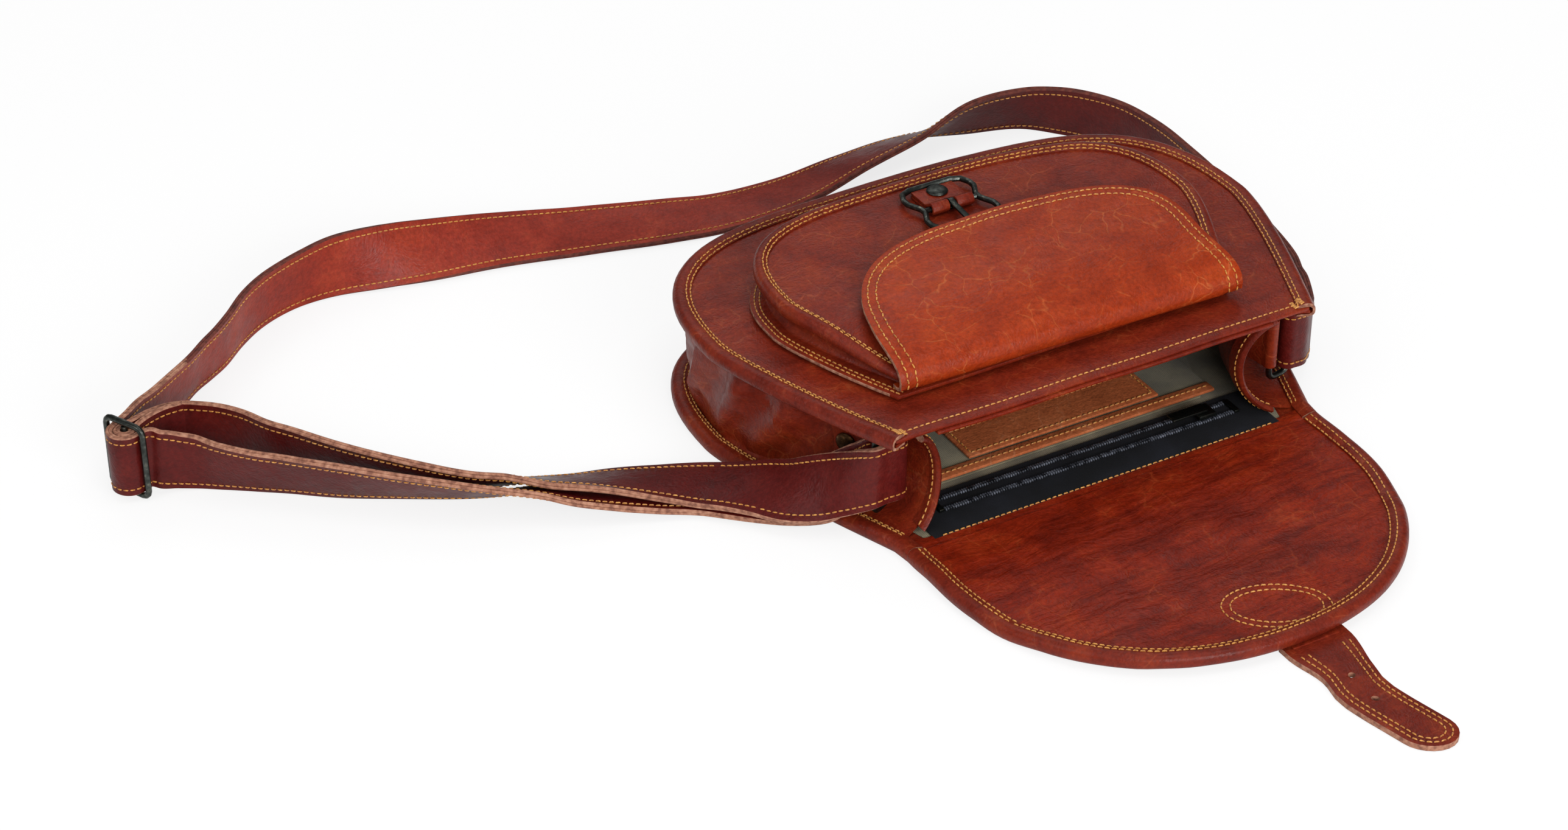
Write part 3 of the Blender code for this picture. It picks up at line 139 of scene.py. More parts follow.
def add(tree, kind, settings=None, links=None):
    """Adds a node with its settings and inputs."""
    node = tree.nodes.new(kind)
    for key, value in (settings or {}).items():
        if key == "stops":
            ramp = node.color_ramp
            while len(ramp.elements) < len(value):
                ramp.elements.new(0.5)
            for element, (place, colour) in zip(ramp.elements, value):
                element.position = place
                element.color = linear(colour)
        else:
            setattr(node, key, value)
    fill(tree, node, links or {})
    return node


def new_material(name):
    """A material with its nodes and its shader."""
    material = bpy.data.materials.new(name)
    material.use_nodes = True
    tree = material.node_tree
    return material, tree, tree.nodes["Principled BSDF"]


def burnished_leather(name, tones, roughness, streak, blotch, veins, turn=0.0, wrinkles=2.2):
    """Vegetable-tanned hide, oiled and burnished: uneven dye, pale pull-up lines and fine pores.

    tones are the darkest, middle and lightest dye, and the pale line where the hide was creased.
    """
    material, tree, shader = new_material(name)
    place = add(tree, "ShaderNodeTexCoord").outputs["Object"]
    turned = add(tree, "ShaderNodeMapping", {}, {"Vector": place, "Rotation": (0.0, 0.0, turn)})
    turned = turned.outputs["Vector"]
    # dye soaks in unevenly, in clouds of about 40 mm and of about 9 mm
    clouds = add(
        tree, "ShaderNodeTexNoise", {},
        {"Vector": turned, "Scale": 30.0, "Detail": 9.0, "Roughness": 0.68, "Distortion": 0.5},
    ).outputs["Fac"]
    small = add(
        tree, "ShaderNodeTexNoise", {}, {"Vector": turned, "Scale": 110.0, "Detail": 4.0}
    ).outputs["Fac"]
    together = add(
        tree, "ShaderNodeMath", {"operation": "MULTIPLY_ADD"}, {0: small, 1: 0.3, 2: clouds}
    ).outputs[0]
    dyed = add(
        tree, "ShaderNodeValToRGB", {"stops": [(0.34, tones[0]), (0.64, tones[1]), (0.92, tones[2])]},
        {"Fac": together},
    ).outputs["Color"]
    # dark rubbed streaks, 5 mm wide and ten times as long
    long_place = add(
        tree, "ShaderNodeMapping", {}, {"Vector": turned, "Scale": (18.0, 190.0, 60.0)}
    ).outputs["Vector"]
    rubbed = add(
        tree, "ShaderNodeTexNoise", {}, {"Vector": long_place, "Scale": 1.0, "Detail": 5.0}
    ).outputs["Fac"]
    rubbed = add(
        tree, "ShaderNodeMapRange", {},
        {"Value": rubbed, "From Min": 0.46, "From Max": 0.68, "To Max": streak},
    ).outputs["Result"]
    dyed = add(
        tree, "ShaderNodeMix", {"data_type": "RGBA"}, {0: rubbed, 6: dyed, 7: linear(tones[0])}
    ).outputs[2]
    # broad darker stains
    stain = add(
        tree, "ShaderNodeTexNoise", {}, {"Vector": turned, "Scale": 9.0, "Detail": 3.0}
    ).outputs["Fac"]
    stain = add(
        tree, "ShaderNodeMapRange", {},
        {"Value": stain, "From Min": 0.5, "From Max": 0.72, "To Max": blotch},
    ).outputs["Result"]
    dyed = add(
        tree, "ShaderNodeMix", {"data_type": "RGBA"}, {0: stain, 6: dyed, 7: linear(tones[0])}
    ).outputs[2]
    # pull-up lines: where the hide was bent its oil moved, and it stays paler in branching lines
    bent = add(
        tree, "ShaderNodeTexNoise", {}, {"Vector": turned, "Scale": 34.0, "Detail": 3.0}
    ).outputs["Color"]
    warped = add(
        tree, "ShaderNodeVectorMath", {"operation": "MULTIPLY_ADD"},
        {0: bent, 1: (0.022, 0.022, 0.022), 2: turned},
    ).outputs[0]
    cracks = add(
        tree, "ShaderNodeTexVoronoi", {"feature": "DISTANCE_TO_EDGE"},
        {"Vector": warped, "Scale": 62.0},
    ).outputs["Distance"]
    line = add(
        tree, "ShaderNodeMapRange", {"interpolation_type": "SMOOTHSTEP"},
        {"Value": cracks, "From Min": 0.0, "From Max": 0.034, "To Min": 1.0, "To Max": 0.0},
    ).outputs["Result"]
    where = add(
        tree, "ShaderNodeMapRange", {},
        {"Value": clouds, "From Min": 0.44, "From Max": 0.62, "To Max": veins},
    ).outputs["Result"]
    line = add(tree, "ShaderNodeMath", {"operation": "MULTIPLY"}, {0: line, 1: where}).outputs[0]
    dyed = add(
        tree, "ShaderNodeMix", {"data_type": "RGBA"}, {0: line, 6: dyed, 7: linear(tones[3])}
    ).outputs[2]
    # the grain's hollows hold more dye
    grain = add(
        tree, "ShaderNodeTexNoise", {},
        {"Vector": turned, "Scale": 520.0, "Detail": 7.0, "Roughness": 0.7},
    ).outputs["Fac"]
    grained = add(
        tree, "ShaderNodeMapRange", {},
        {"Value": grain, "From Min": 0.32, "From Max": 0.68, "To Min": 0.72, "To Max": 1.22},
    ).outputs["Result"]
    dyed = add(
        tree, "ShaderNodeVectorMath", {"operation": "SCALE"}, {0: dyed, "Scale": grained}
    ).outputs[0]
    # fine creases run across the way the hide was bent
    crease_place = add(
        tree, "ShaderNodeMapping", {}, {"Vector": warped, "Scale": (60.0, 330.0, 120.0)}
    ).outputs["Vector"]
    creases = add(
        tree, "ShaderNodeTexNoise", {}, {"Vector": crease_place, "Scale": 1.0, "Detail": 6.0}
    ).outputs["Fac"]
    # pores, drawn 1.3 mm apart, about twice as coarse as the hide's own so that they show
    pores = add(
        tree, "ShaderNodeTexVoronoi", {}, {"Vector": warped, "Scale": 760.0}
    ).outputs["Distance"]
    waves = add(
        tree, "ShaderNodeTexNoise", {}, {"Vector": turned, "Scale": 190.0, "Detail": 6.0}
    ).outputs["Fac"]
    relief = add(
        tree, "ShaderNodeMath", {"operation": "MULTIPLY_ADD"}, {0: waves, 1: 1.6, 2: pores}
    ).outputs[0]
    relief = add(
        tree, "ShaderNodeMath", {"operation": "MULTIPLY_ADD"}, {0: line, 1: -0.9, 2: relief}
    ).outputs[0]
    relief = add(
        tree, "ShaderNodeMath", {"operation": "MULTIPLY_ADD"}, {0: creases, 1: wrinkles, 2: relief}
    ).outputs[0]
    bump = add(
        tree, "ShaderNodeBump", {}, {"Height": relief, "Strength": 0.5, "Distance": 0.22 * MM}
    ).outputs["Normal"]
    shine = add(
        tree, "ShaderNodeMapRange", {},
        {"Value": small, "From Min": 0.3, "From Max": 0.7,
         "To Min": roughness - 0.06, "To Max": roughness + 0.1},
    ).outputs["Result"]
    fill(tree, shader, {
        "Base Color": dyed, "Roughness": shine, "Normal": bump, "IOR": 1.46,
        "Specular IOR Level": 0.2,
    })
    return material


def raw_edge(name, tones):
    """The cut edge of hide: fibrous and matt, pale where no dye reached it."""
    material, tree, shader = new_material(name)
    place = add(tree, "ShaderNodeTexCoord").outputs["Object"]
    fibre = add(
        tree, "ShaderNodeTexNoise", {}, {"Vector": place, "Scale": 420.0, "Detail": 5.0}
    ).outputs["Fac"]
    colour = add(
        tree, "ShaderNodeValToRGB", {"stops": [(0.36, tones[0]), (0.52, tones[1]), (0.72, tones[2])]},
        {"Fac": fibre},
    ).outputs["Color"]
    bump = add(
        tree, "ShaderNodeBump", {}, {"Height": fibre, "Strength": 0.6, "Distance": 0.3 * MM}
    ).outputs["Normal"]
    fill(tree, shader, {"Base Color": colour, "Normal": bump, "Roughness": 0.82})
    return material


def waxed_thread(name):
    """Bonded polyester thread, waxed: golden ochre, with the dark of its twist."""
    material, tree, shader = new_material(name)
    place = add(tree, "ShaderNodeTexCoord").outputs["Object"]
    twist = add(
        tree, "ShaderNodeTexNoise", {}, {"Vector": place, "Scale": 900.0, "Detail": 2.0}
    ).outputs["Fac"]
    colour = add(
        tree, "ShaderNodeValToRGB", {"stops": [(0.3, "#8a4f16"), (0.5, "#b87a2c"), (0.72, "#d29a4a")]},
        {"Fac": twist},
    ).outputs["Color"]
    fill(tree, shader, {"Base Color": colour, "Roughness": 0.55, "Sheen Weight": 0.15})
    return material


def woven_cloth(name, tones, spacing, roughness, relief, fuzz=0.2):
    """Plain weave: two crossing rows of yarn at the given spacing, with slubs and fading."""
    material, tree, shader = new_material(name)
    place = add(tree, "ShaderNodeTexCoord").outputs["Object"]
    bands_at_scale_one = 3.18
    scale = 1 / spacing / bands_at_scale_one
    warp, weft = (
        add(
            tree, "ShaderNodeTexWave", {"bands_direction": way},
            {"Vector": place, "Scale": scale, "Distortion": 0.4, "Detail": 2.0},
        ).outputs["Fac"]
        for way in "XY"
    )
    cross = add(tree, "ShaderNodeMath", {"operation": "MAXIMUM"}, {0: warp, 1: weft}).outputs[0]
    fade = add(
        tree, "ShaderNodeTexNoise", {}, {"Vector": place, "Scale": 45.0, "Detail": 5.0}
    ).outputs["Fac"]
    both = add(
        tree, "ShaderNodeMath", {"operation": "MULTIPLY_ADD"}, {0: cross, 1: 0.35, 2: fade}
    ).outputs[0]
    colour = add(
        tree, "ShaderNodeValToRGB", {"stops": [(0.4, tones[0]), (0.75, tones[1]), (1.0, tones[2])]},
        {"Fac": both},
    ).outputs["Color"]
    bump = add(
        tree, "ShaderNodeBump", {}, {"Height": cross, "Strength": 0.6, "Distance": relief}
    ).outputs["Normal"]
    fill(tree, shader, {
        "Base Color": colour, "Normal": bump, "Roughness": roughness, "Sheen Weight": fuzz,
        "Specular IOR Level": 0.25,
    })
    return material


def antique_metal(name, tones, roughness):
    """Plated wire, blackened and rubbed: dark recesses, greenish brass where it is handled."""
    material, tree, shader = new_material(name)
    place = add(tree, "ShaderNodeTexCoord").outputs["Object"]
    worn = add(
        tree, "ShaderNodeTexNoise", {}, {"Vector": place, "Scale": 460.0, "Detail": 6.0}
    ).outputs["Fac"]
    colour = add(
        tree, "ShaderNodeValToRGB", {"stops": [(0.28, tones[0]), (0.58, tones[1]), (0.82, tones[2])]},
        {"Fac": worn},
    ).outputs["Color"]
    gloss = add(
        tree, "ShaderNodeMapRange", {},
        {"Value": worn, "From Min": 0.3, "From Max": 0.7,
         "To Min": roughness + 0.15, "To Max": roughness},
    ).outputs["Result"]
    bump = add(
        tree, "ShaderNodeBump", {}, {"Height": worn, "Strength": 0.12, "Distance": 0.06 * MM}
    ).outputs["Normal"]
    fill(tree, shader, {
        "Base Color": colour, "Roughness": gloss, "Normal": bump, "Metallic": 1.0
    })
    return material


def moulded_nylon(name, tones):
    """Extruded nylon filament: near black, with paler grey patches painted in as glints, and a soft
    line of light.
    """
    material, tree, shader = new_material(name)
    place = add(tree, "ShaderNodeTexCoord").outputs["Object"]
    # paler patches of colour: painted highlight, where the coil glints
    painted_glints = add(
        tree, "ShaderNodeTexNoise", {}, {"Vector": place, "Scale": 300.0, "Detail": 3.0}
    ).outputs["Fac"]
    colour = add(
        tree, "ShaderNodeValToRGB", {"stops": [(0.4, tones[0]), (0.75, tones[1])]}, {"Fac": painted_glints}
    ).outputs["Color"]
    fill(tree, shader, {"Base Color": colour, "Roughness": 0.26})
    return material


# the body's hide: maroon to chestnut, glossy from handling
body_hide = burnished_leather(
    "oiled_hide_chestnut", ("#48110a", "#70200f", "#863012", "#a0522e"), 0.36, 0.2, 0.26, 0.3
)
# the rims' folded hide strip is thinner and took more dye
rim_hide = burnished_leather(
    "folded_hide_maroon", ("#43100a", "#691e0f", "#7e2c12", "#a05232"), 0.38, 0.15, 0.26, 0.25
)
# the pocket flap's hide: lightest, tan where it is bent, with many pale lines
flap_hide = burnished_leather(
    "pull_up_hide_tan", ("#6c1e0a", "#8c2c0b", "#9e3b10", "#ba6938"), 0.37, 0.08, 0.34, 0.42
)
# the main flap's inner side: rubbed dark in streaks along the mouth
inner_hide = burnished_leather(
    "rubbed_hide_russet", ("#430b05", "#741c08", "#89290b", "#a24a24"), 0.36, 0.55, 0.22, 0.25,
    -0.1, 7.0,
)
# the shoulder strap's hide: wine where it hangs low
strap_hide = burnished_leather(
    "strap_hide_wine", ("#64190f", "#84291a", "#96361f", "#a8563a"), 0.4, 0.08, 0.12, 0.15
)
# trims inside: undyed tan hide
tan_hide = burnished_leather(
    "tan_hide_trim", ("#8c4728", "#ac5c36", "#bf7046", "#d59c78"), 0.5, 0.08, 0.1, 0.3
)


# the strap's upper run begins across these stretches of Y and X
upper_run = (222 * MM, 250 * MM)
left_run = (80 * MM, -50 * MM)
low_tint = (0.34, 0.24, 0.42)


def darker_where_low(material):
    """The strap is darker and browner where it hangs low than along its upper run."""
    tree = material.node_tree
    shader = tree.nodes["Principled BSDF"]
    dyed = shader.inputs["Base Color"].links[0].from_socket
    place = add(tree, "ShaderNodeTexCoord").outputs["Object"]
    split = add(tree, "ShaderNodeSeparateXYZ", {}, {0: place})
    far, left = (
        add(
            tree, "ShaderNodeMapRange", {},
            {"Value": split.outputs[way], "From Min": start, "From Max": end},
        ).outputs["Result"]
        for way, (start, end) in (("Y", upper_run), ("X", left_run))
    )
    both = add(tree, "ShaderNodeMath", {"operation": "MULTIPLY"}, {0: far, 1: left}).outputs[0]
    low = add(
        tree, "ShaderNodeVectorMath", {"operation": "MULTIPLY"}, {0: dyed, 1: low_tint}
    ).outputs[0]
    mixed = add(
        tree, "ShaderNodeMix", {"data_type": "RGBA"}, {0: both, 6: low, 7: dyed}
    ).outputs[2]
    fill(tree, shader, {"Base Color": mixed})


# the strap's colour is made darker by place, everywhere but along its upper run on the left
darker_where_low(strap_hide)
cut_edge = raw_edge("raw_hide_edge", ("#704433", "#96654e", "#ad8068"))
# along the upper run and right of the middle, behind the bag, the strap's edge is given a darker
# colour
darker_edge = raw_edge("darker_hide_edge", ("#481a10", "#5c2418", "#6e3424"))
thread = waxed_thread("waxed_thread_ochre")
canvas = woven_cloth(
    "cotton_canvas_olive", ("#3f3a2e", "#665f4b", "#8a8067"), 0.9 * MM, 0.9, 0.15 * MM
)
tape = woven_cloth(
    "polyester_tape_black", ("#050609", "#0b0c11", "#171921"), 0.6 * MM, 0.8, 0.1 * MM, 0.02
)
metal = antique_metal("blackened_brass_plate", ("#2b2d2b", "#4b4f4b", "#8b8878"), 0.3)
bronze = antique_metal("aged_bronze_cap", ("#2a1c12", "#5c4028", "#94714a"), 0.38)
# the paler tone is a painted glint on the coil
nylon = moulded_nylon("nylon_filament_black", ("#1a1c22", "#6c707c"))


# Outlines repeated from the solids
corner_handle_shares = (0.33, 0.274)
wide_low_handle_share = 0.196
wide_high_handle_share = 0.96
bottom_handle_share = 0.613
flap_side_handle_share = 0.48
flap_tip_handle_share = 0.69


def bezier(start, first, second, end, count):
    """Points along a curve with two handles."""
    points = []
    for i in range(count + 1):
        t = i / count
        s = 1 - t
        weights = (s**3, 3 * s * s * t, 3 * s * t * t, t**3)
        spots = (start, first, second, end)
        points.append(tuple(sum(w * p[k] for w, p in zip(weights, spots)) for k in (0, 1)))
    return points


def mirrored(right, centre=0.0):
    """A right half and its mirror image as one outline, from the left end to the right."""
    return [(centre - x, y) for x, y in right] + [(centre + x, y) for x, y in right[-2::-1]]


def horseshoe(near_half, near_y, wide_half, wide_y, low_y, centre):
    """The D outline from the left mouth corner round the bottom to the right mouth corner."""
    rise = wide_y - near_y
    swell = wide_half - near_half
    handle = (near_half + corner_handle_shares[0] * swell, near_y + corner_handle_shares[1] * rise)
    side = bezier(
        (near_half, near_y), handle, (wide_half, wide_y - wide_low_handle_share * rise),
        (wide_half, wide_y), 30,
    )
    bottom = bezier(
        (wide_half, wide_y), (wide_half, wide_y + wide_high_handle_share * (low_y - wide_y)),
        (bottom_handle_share * wide_half, low_y), (0.0, low_y), 30,
    )
    return mirrored(side + bottom[1:], centre)


def inset(outline, distance, side=1):
    """An open outline moved inwards."""
    moved = []
    last = len(outline) - 1
    for i, (x, y) in enumerate(outline):
        before = outline[max(i - 1, 0)]
        after = outline[min(i + 1, last)]
        run = Vector((after[0] - before[0], after[1] - before[1])).normalized()
        moved.append((x + side * distance * run.y, y - side * distance * run.x))
    return moved


back_outline = horseshoe(mouth_half, mouth_place, rim_half, rim_wide_place, body_bottom, 0.0)
front_outline = horseshoe(
    mouth_half, mouth_place, rim_half, rim_wide_place - front_drop, body_bottom - front_drop,
    front_shift,
)
pocket_outline = horseshoe(
    pocket_mouth_half, pocket_mouth_place, pocket_half, pocket_wide_place, pocket_bottom,
    pocket_centre,
)
flap_run = flap_side_end - flap_tip
flap_curve = bezier(
    (flap_half, flap_side_end), (flap_half, flap_side_end - flap_side_handle_share * flap_run),
    (flap_tip_handle_share * flap_half, flap_tip), (0.0, flap_tip), 40,
)


def activate(piece):
    """Makes a piece the only one selected."""
    bpy.ops.object.select_all(action="DESELECT")
    piece.select_set(True)
    bpy.context.view_layer.objects.active = piece


@contextlib.contextmanager
def editing(piece):
    """A piece in edit mode with all of it selected."""
    activate(piece)
    bpy.ops.object.mode_set(mode="EDIT")
    bpy.ops.mesh.select_all(action="SELECT")
    yield
    bpy.ops.object.mode_set(mode="OBJECT")


def shaped(piece, kind, **settings):
    """Shapes a piece's mesh with a modifier."""
    activate(piece)
    shaper = piece.modifiers.new("shaper", kind)
    for key, value in settings.items():
        setattr(shaper, key, value)
    bpy.ops.object.modifier_apply(modifier=shaper.name)


def joined_copy(node, name, dissolve=True):
    """A copy of a solid's mesh with its loose triangles joined to whole faces."""
    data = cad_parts[node].data.copy()
    data.materials.clear()
    piece = bpy.data.objects.new(name, data)
    bpy.context.scene.collection.objects.link(piece)
    activate(piece)
    bpy.ops.mesh.customdata_custom_splitnormals_clear()
    with editing(piece):
        bpy.ops.mesh.remove_doubles(threshold=weld)
        if dissolve:
            bpy.ops.mesh.dissolve_limited(angle_limit=flat_angle)
    return piece


def round_edges(piece, width):
    """Rolls the sharp edges over, as skived and burnished edges are."""
    with editing(piece):
        bpy.ops.mesh.select_mode(type="EDGE")
        bpy.ops.mesh.select_all(action="DESELECT")
        bpy.ops.mesh.edges_select_sharp(sharpness=edge_angle)
        bpy.ops.mesh.bevel(offset=width, segments=2, affect="EDGES", clamp_overlap=True)
        bpy.ops.mesh.select_all(action="SELECT")
        bpy.ops.mesh.remove_doubles(threshold=weld)


@contextlib.contextmanager
def opened(piece):
    """A piece's mesh, open for changes and put back after them."""
    mesh = bmesh.new()
    mesh.from_mesh(piece.data)
    yield mesh
    mesh.to_mesh(piece.data)
    mesh.free()


def sliced(mesh, spot, way, part=None, **cleared):
    """Cuts a mesh, or a part of it, square to a way."""
    if part is None:
        part = mesh.verts[:] + mesh.edges[:] + mesh.faces[:]
    bmesh.ops.bisect_plane(
        mesh, geom=part, dist=weld / 100, plane_co=spot, plane_no=way, **cleared
    )


def cut_across(piece, spacing, axes="xyz"):
    """Cuts a piece's faces at even places, so that it can bend."""
    with opened(piece) as mesh:
        spots = [vertex.co for vertex in mesh.verts]
        for axis in ("xyz".index(letter) for letter in axes):
            low = min(spot[axis] for spot in spots)
            high = max(spot[axis] for spot in spots)
            count = int((high - low) / spacing)
            way = Vector([float(axis == k) for k in range(3)])
            for i in range(1, count + 1):
                sliced(mesh, way * (low + (high - low) * i / (count + 1)), way)


def ripple(spot, size, seed=0.0):
    """Smooth unevenness between -1 and 1, with waves of the given size."""
    return noise.noise(Vector(spot) / size + Vector((seed, seed, seed)))


def ease(value, low, high):
    """0 below low, 1 above high, and smooth between."""
    t = min(max((value - low) / (high - low), 0.0), 1.0)
    return t * t * (3 - 2 * t)


# The last number of each call of ripple only picks a pattern.
buckle_spot = Vector((-5.0 * MM, 128.5 * MM, 0.0))
held_low, held_high = 9 * MM, 51 * MM
held_start = 8 * MM
held_centre = 80 * MM
wall_pucker = 2.4 * MM
wall_pucker_size = 17.0 * MM
wall_pucker_run = (30 * MM, 75 * MM)
front_run = (30 * MM, 56 * MM)
buckle_clear = (22 * MM, 50 * MM)
mouth_clear = 1 * MM
front_wave = 1.1 * MM
front_wave_size = 62 * MM
flap_wave = 1.3 * MM
flap_wave_size = 55 * MM
flap_crease = 0.45 * MM
flap_crease_size = 8 * MM
crease_stretch = 6
hinge_clear = (3 * MM, 18 * MM)
side_clear = (2 * MM, 30 * MM)
closing_curve_shares = (
    (-157.0, 0.0), (-172.0, -0.1), (-180.0, -0.8), (-190.0, -2.9), (-198.0, -2.6),
    (-208.0, -0.6), (-217.0, 1.6), (-227.0, 4.0), (-240.5, 6.6),
)
closing_flare = 0.34
closing_flare_run = (-181 * MM, -157 * MM)


def settled(spot):
    """The front dips and swells a little away from the buckle, and what the wall holds puckers."""
    moved = spot.copy()
    flat = Vector((spot.x, spot.y, 0.0))
    up = ease(spot.z, *front_run)
    if up and spot.y > mouth_place - mouth_clear:
        free = ease((flat - buckle_spot).length, *buckle_clear)
        moved.z += up * free * front_wave * ripple(flat, front_wave_size, 3.1)
    if held_low < spot.z < held_high and spot.y > held_start and abs(spot.x) < rim_half:
        middle = math.sin(math.pi * (spot.z - held_low) / (held_high - held_low))
        outward = Vector((spot.x, spot.y - held_centre, 0.0)).normalized()
        bend = ripple(spot, wall_pucker_size, 7.7) + 0.5 * ripple(spot, wall_pucker_size / 2, 1.3)
        moved += outward * wall_pucker * middle * bend * ease(spot.y, *wall_pucker_run)
    return moved


def settled_flap(spot):
    """The open flap lies in shallow waves, creased near its fold."""
    moved = spot.copy()
    flat = Vector((spot.x, spot.y, 0.0))
    off_hinge = ease(abs(spot.y - flap_hinge), *hinge_clear)
    off_second = ease(abs(spot.y - second_hinge), *hinge_clear)
    inside = ease(flap_half - abs(spot.x), *side_clear)
    wave = 0.5 + 0.5 * ripple(flat, flap_wave_size, 5.2)
    crease = ripple((spot.x / crease_stretch, spot.y, 0.0), flap_crease_size, 2.2)
    moved.z += off_hinge * off_second * (flap_wave * wave + inside * flap_crease * crease)
    return moved


def settled_closing(spot):
    """The closing strap lies in a slow S, and is wider at its root."""
    moved = spot.copy()
    flare = closing_flare * ease(spot.y, *closing_flare_run)
    moved.x += flare * (spot.x - closing_centre)
    place = spot.y / MM
    for (y0, x0), (y1, x1) in zip(closing_curve_shares, closing_curve_shares[1:]):
        if y1 <= place <= y0:
            moved.x += (x0 + (x1 - x0) * (y0 - place) / (y0 - y1)) * MM
    if place < closing_curve_shares[-1][0]:
        moved.x += closing_curve_shares[-1][1] * MM
    return moved


def bend_with(piece, rule):
    """Moves every corner of a piece by a rule."""
    for vertex in piece.data.vertices:
        vertex.co = rule(vertex.co)
    piece.data.update()


def finish_piece(piece, material, body, nodes=()):
    """Gives a finished mesh its material, smooth faces, body and the solids it stands for."""
    if material is not None:
        piece.data.materials.clear()
        piece.data.materials.append(material)
    activate(piece)
    bpy.ops.object.shade_smooth_by_angle(angle=smooth_angle)
    if body:
        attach(piece, body)
    if nodes:
        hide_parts(*nodes)
    return piece


def dressed(node, suffix, material, body, edge, spacing, rule=settled, axes="xyz"):
    """A fuller piece in place of a solid: rolled edges, and bent as the soft bag lies."""
    piece = joined_copy(node, node + "_" + suffix)
    if edge:
        round_edges(piece, edge)
    if spacing:
        cut_across(piece, spacing, axes)
    if rule:
        bend_with(piece, rule)
    return finish_piece(piece, material, body, (node,))


hides = {}
rim_width = 9.0 * MM
rim_thick = 6.1 * MM
pocket_rim_width = 7.0 * MM
pucker = 0.28 * MM
pucker_size = 6 * MM
rim_hide_thick = 1.05 * MM
rim_crown = 0.9 * MM
puckered_points = 7


def rim(name, outline, low, width=rim_width, side=1):
    """A strip of hide folded over two panels' edges: rolled outside, full between edge and seam."""
    high = low + rim_thick
    middle = (low + high) / 2
    hide = rim_hide_thick
    crown = rim_crown
    outer = [
        (width, high - 0.75 * MM), (width - 0.6 * MM, high - 0.35 * MM),
        (width - 1.8 * MM, high + 0.1 * MM), (0.6 * width, high + 0.75 * crown),
        (0.4 * width, high + crown), (0.22 * width, high + 0.55 * crown),
        (0.09 * width, high - 0.5 * MM), (0.015 * width, high - 1.6 * MM), (0.0, middle),
        (0.015 * width, low + 1.5 * MM), (0.09 * width, low + 0.45 * MM), (0.26 * width, low),
        (width, low),
    ]
    inner = [
        (width, low + hide), (0.3 * width, low + hide), (0.16 * width, low + 1.9 * MM),
        (0.14 * width, middle), (0.16 * width, high - 1.9 * MM), (0.3 * width, high - hide),
        (width, high - 1.5 * MM),
    ]
    profile = outer + inner
    rows = [inset(outline, distance, side) for distance, _ in profile]
    count = len(profile)
    points = []
    for i in range(len(outline)):
        for k, (distance, height) in enumerate(profile):
            x, y = rows[k][i]
            spot = Vector((x, y, height))
            if k < puckered_points:
                full = math.sin(math.pi * distance / width)
                spot.z += pucker * full * ripple(spot, pucker_size, 8.3)
            points.append(spot)
    return strip_mesh(name, points, count, len(outline))


def new_piece(name, points, faces, *materials):
    """An object from its corners and faces."""
    data = bpy.data.meshes.new(name)
    data.from_pydata(points, [], faces)
    for material in materials:
        data.materials.append(material)
    piece = bpy.data.objects.new(name, data)
    bpy.context.scene.collection.objects.link(piece)
    return piece


def grid_faces(rows, count, closed=True):
    """Four-sided faces between rows of corners, each row a ring or an open line."""
    faces = []
    for i in range(rows - 1):
        for k in range(count if closed else count - 1):
            here = i * count + k
            following = i * count + (k + 1) % count
            faces.append((here, following, following + count, here + count))
    return faces


def strip_mesh(name, points, count, rows):
    """A closed strip of thin hide through rows of section points, with raw edges at both ends."""
    faces = [face[:1] + face[:0:-1] for face in grid_faces(rows, count)]
    last = (rows - 1) * count
    faces.append(tuple(range(count)))
    faces.append(tuple(last + k for k in reversed(range(count))))
    piece = mesh_piece(name, points, faces, rim_hide)
    piece.data.materials.append(cut_edge)
    for polygon in piece.data.polygons:
        polygon.material_index = int(len(polygon.vertices) > 4)
    return piece


def mesh_piece(name, points, faces, material):
    """An object with its doubled corners merged and its faces outward."""
    piece = new_piece(name, points, faces, material)
    with opened(piece) as mesh:
        bmesh.ops.remove_doubles(mesh, verts=mesh.verts[:], dist=weld)
        bmesh.ops.recalc_face_normals(mesh, faces=mesh.faces[:])
    return piece


def closed_loop(outline, step=5 * MM):
    """The outline with points added along its straight closing edge."""
    first = Vector(outline[0])
    last = Vector(outline[-1])
    count = int((last - first).length / step)
    return list(outline) + [tuple(last.lerp(first, i / count)) for i in range(1, count)]


def hide_sheet(name, loop, centre, place, thick, material, rings, edge=None):
    """One cut piece of hide, laid by a rule and given its thickness and rolled edges.

    Its faces lie in rings from its edge to a point inside.
    """
    points = []
    count = len(loop)
    middle_x, middle_y = centre
    for k in range(rings):
        share = 1 - k / rings
        points += [
            place(middle_x + share * (x - middle_x), middle_y + share * (y - middle_y))
            for x, y in loop
        ]
    points.append(place(*centre))
    faces = grid_faces(rings, count)
    inner = (rings - 1) * count
    faces += [(inner + i, inner + (i + 1) % count, rings * count) for i in range(count)]
    piece = mesh_piece(name, points, faces, material)
    if sum(polygon.normal.z for polygon in piece.data.polygons) < 0:
        piece.data.flip_normals()
    if edge:
        piece.data.materials.append(edge)
    shaped(
        piece, "SOLIDIFY", thickness=thick, offset=-1.0, material_offset_rim=1 if edge else 0
    )
    shaped(
        piece, "BEVEL", width=0.28 * thick, segments=2, limit_method="ANGLE",
        angle_limit=math.radians(50),
    )
    return piece


def kept(piece, y_place, keep_above):
    """Cuts a sheet across at a place along Y and keeps one side, its cut closed."""
    with opened(piece) as mesh:
        sliced(
            mesh, (0.0, y_place, 0.0), (0.0, 1.0, 0.0), clear_inner=keep_above,
            clear_outer=not keep_above,
        )
        bmesh.ops.holes_fill(mesh, edges=[edge for edge in mesh.edges if edge.is_boundary])


def cut_near(piece, places):
    """Adds lines across a sheet where it bends."""
    with opened(piece) as mesh:
        for place in places:
            sliced(mesh, (0.0, place, 0.0), (0.0, 1.0, 0.0))


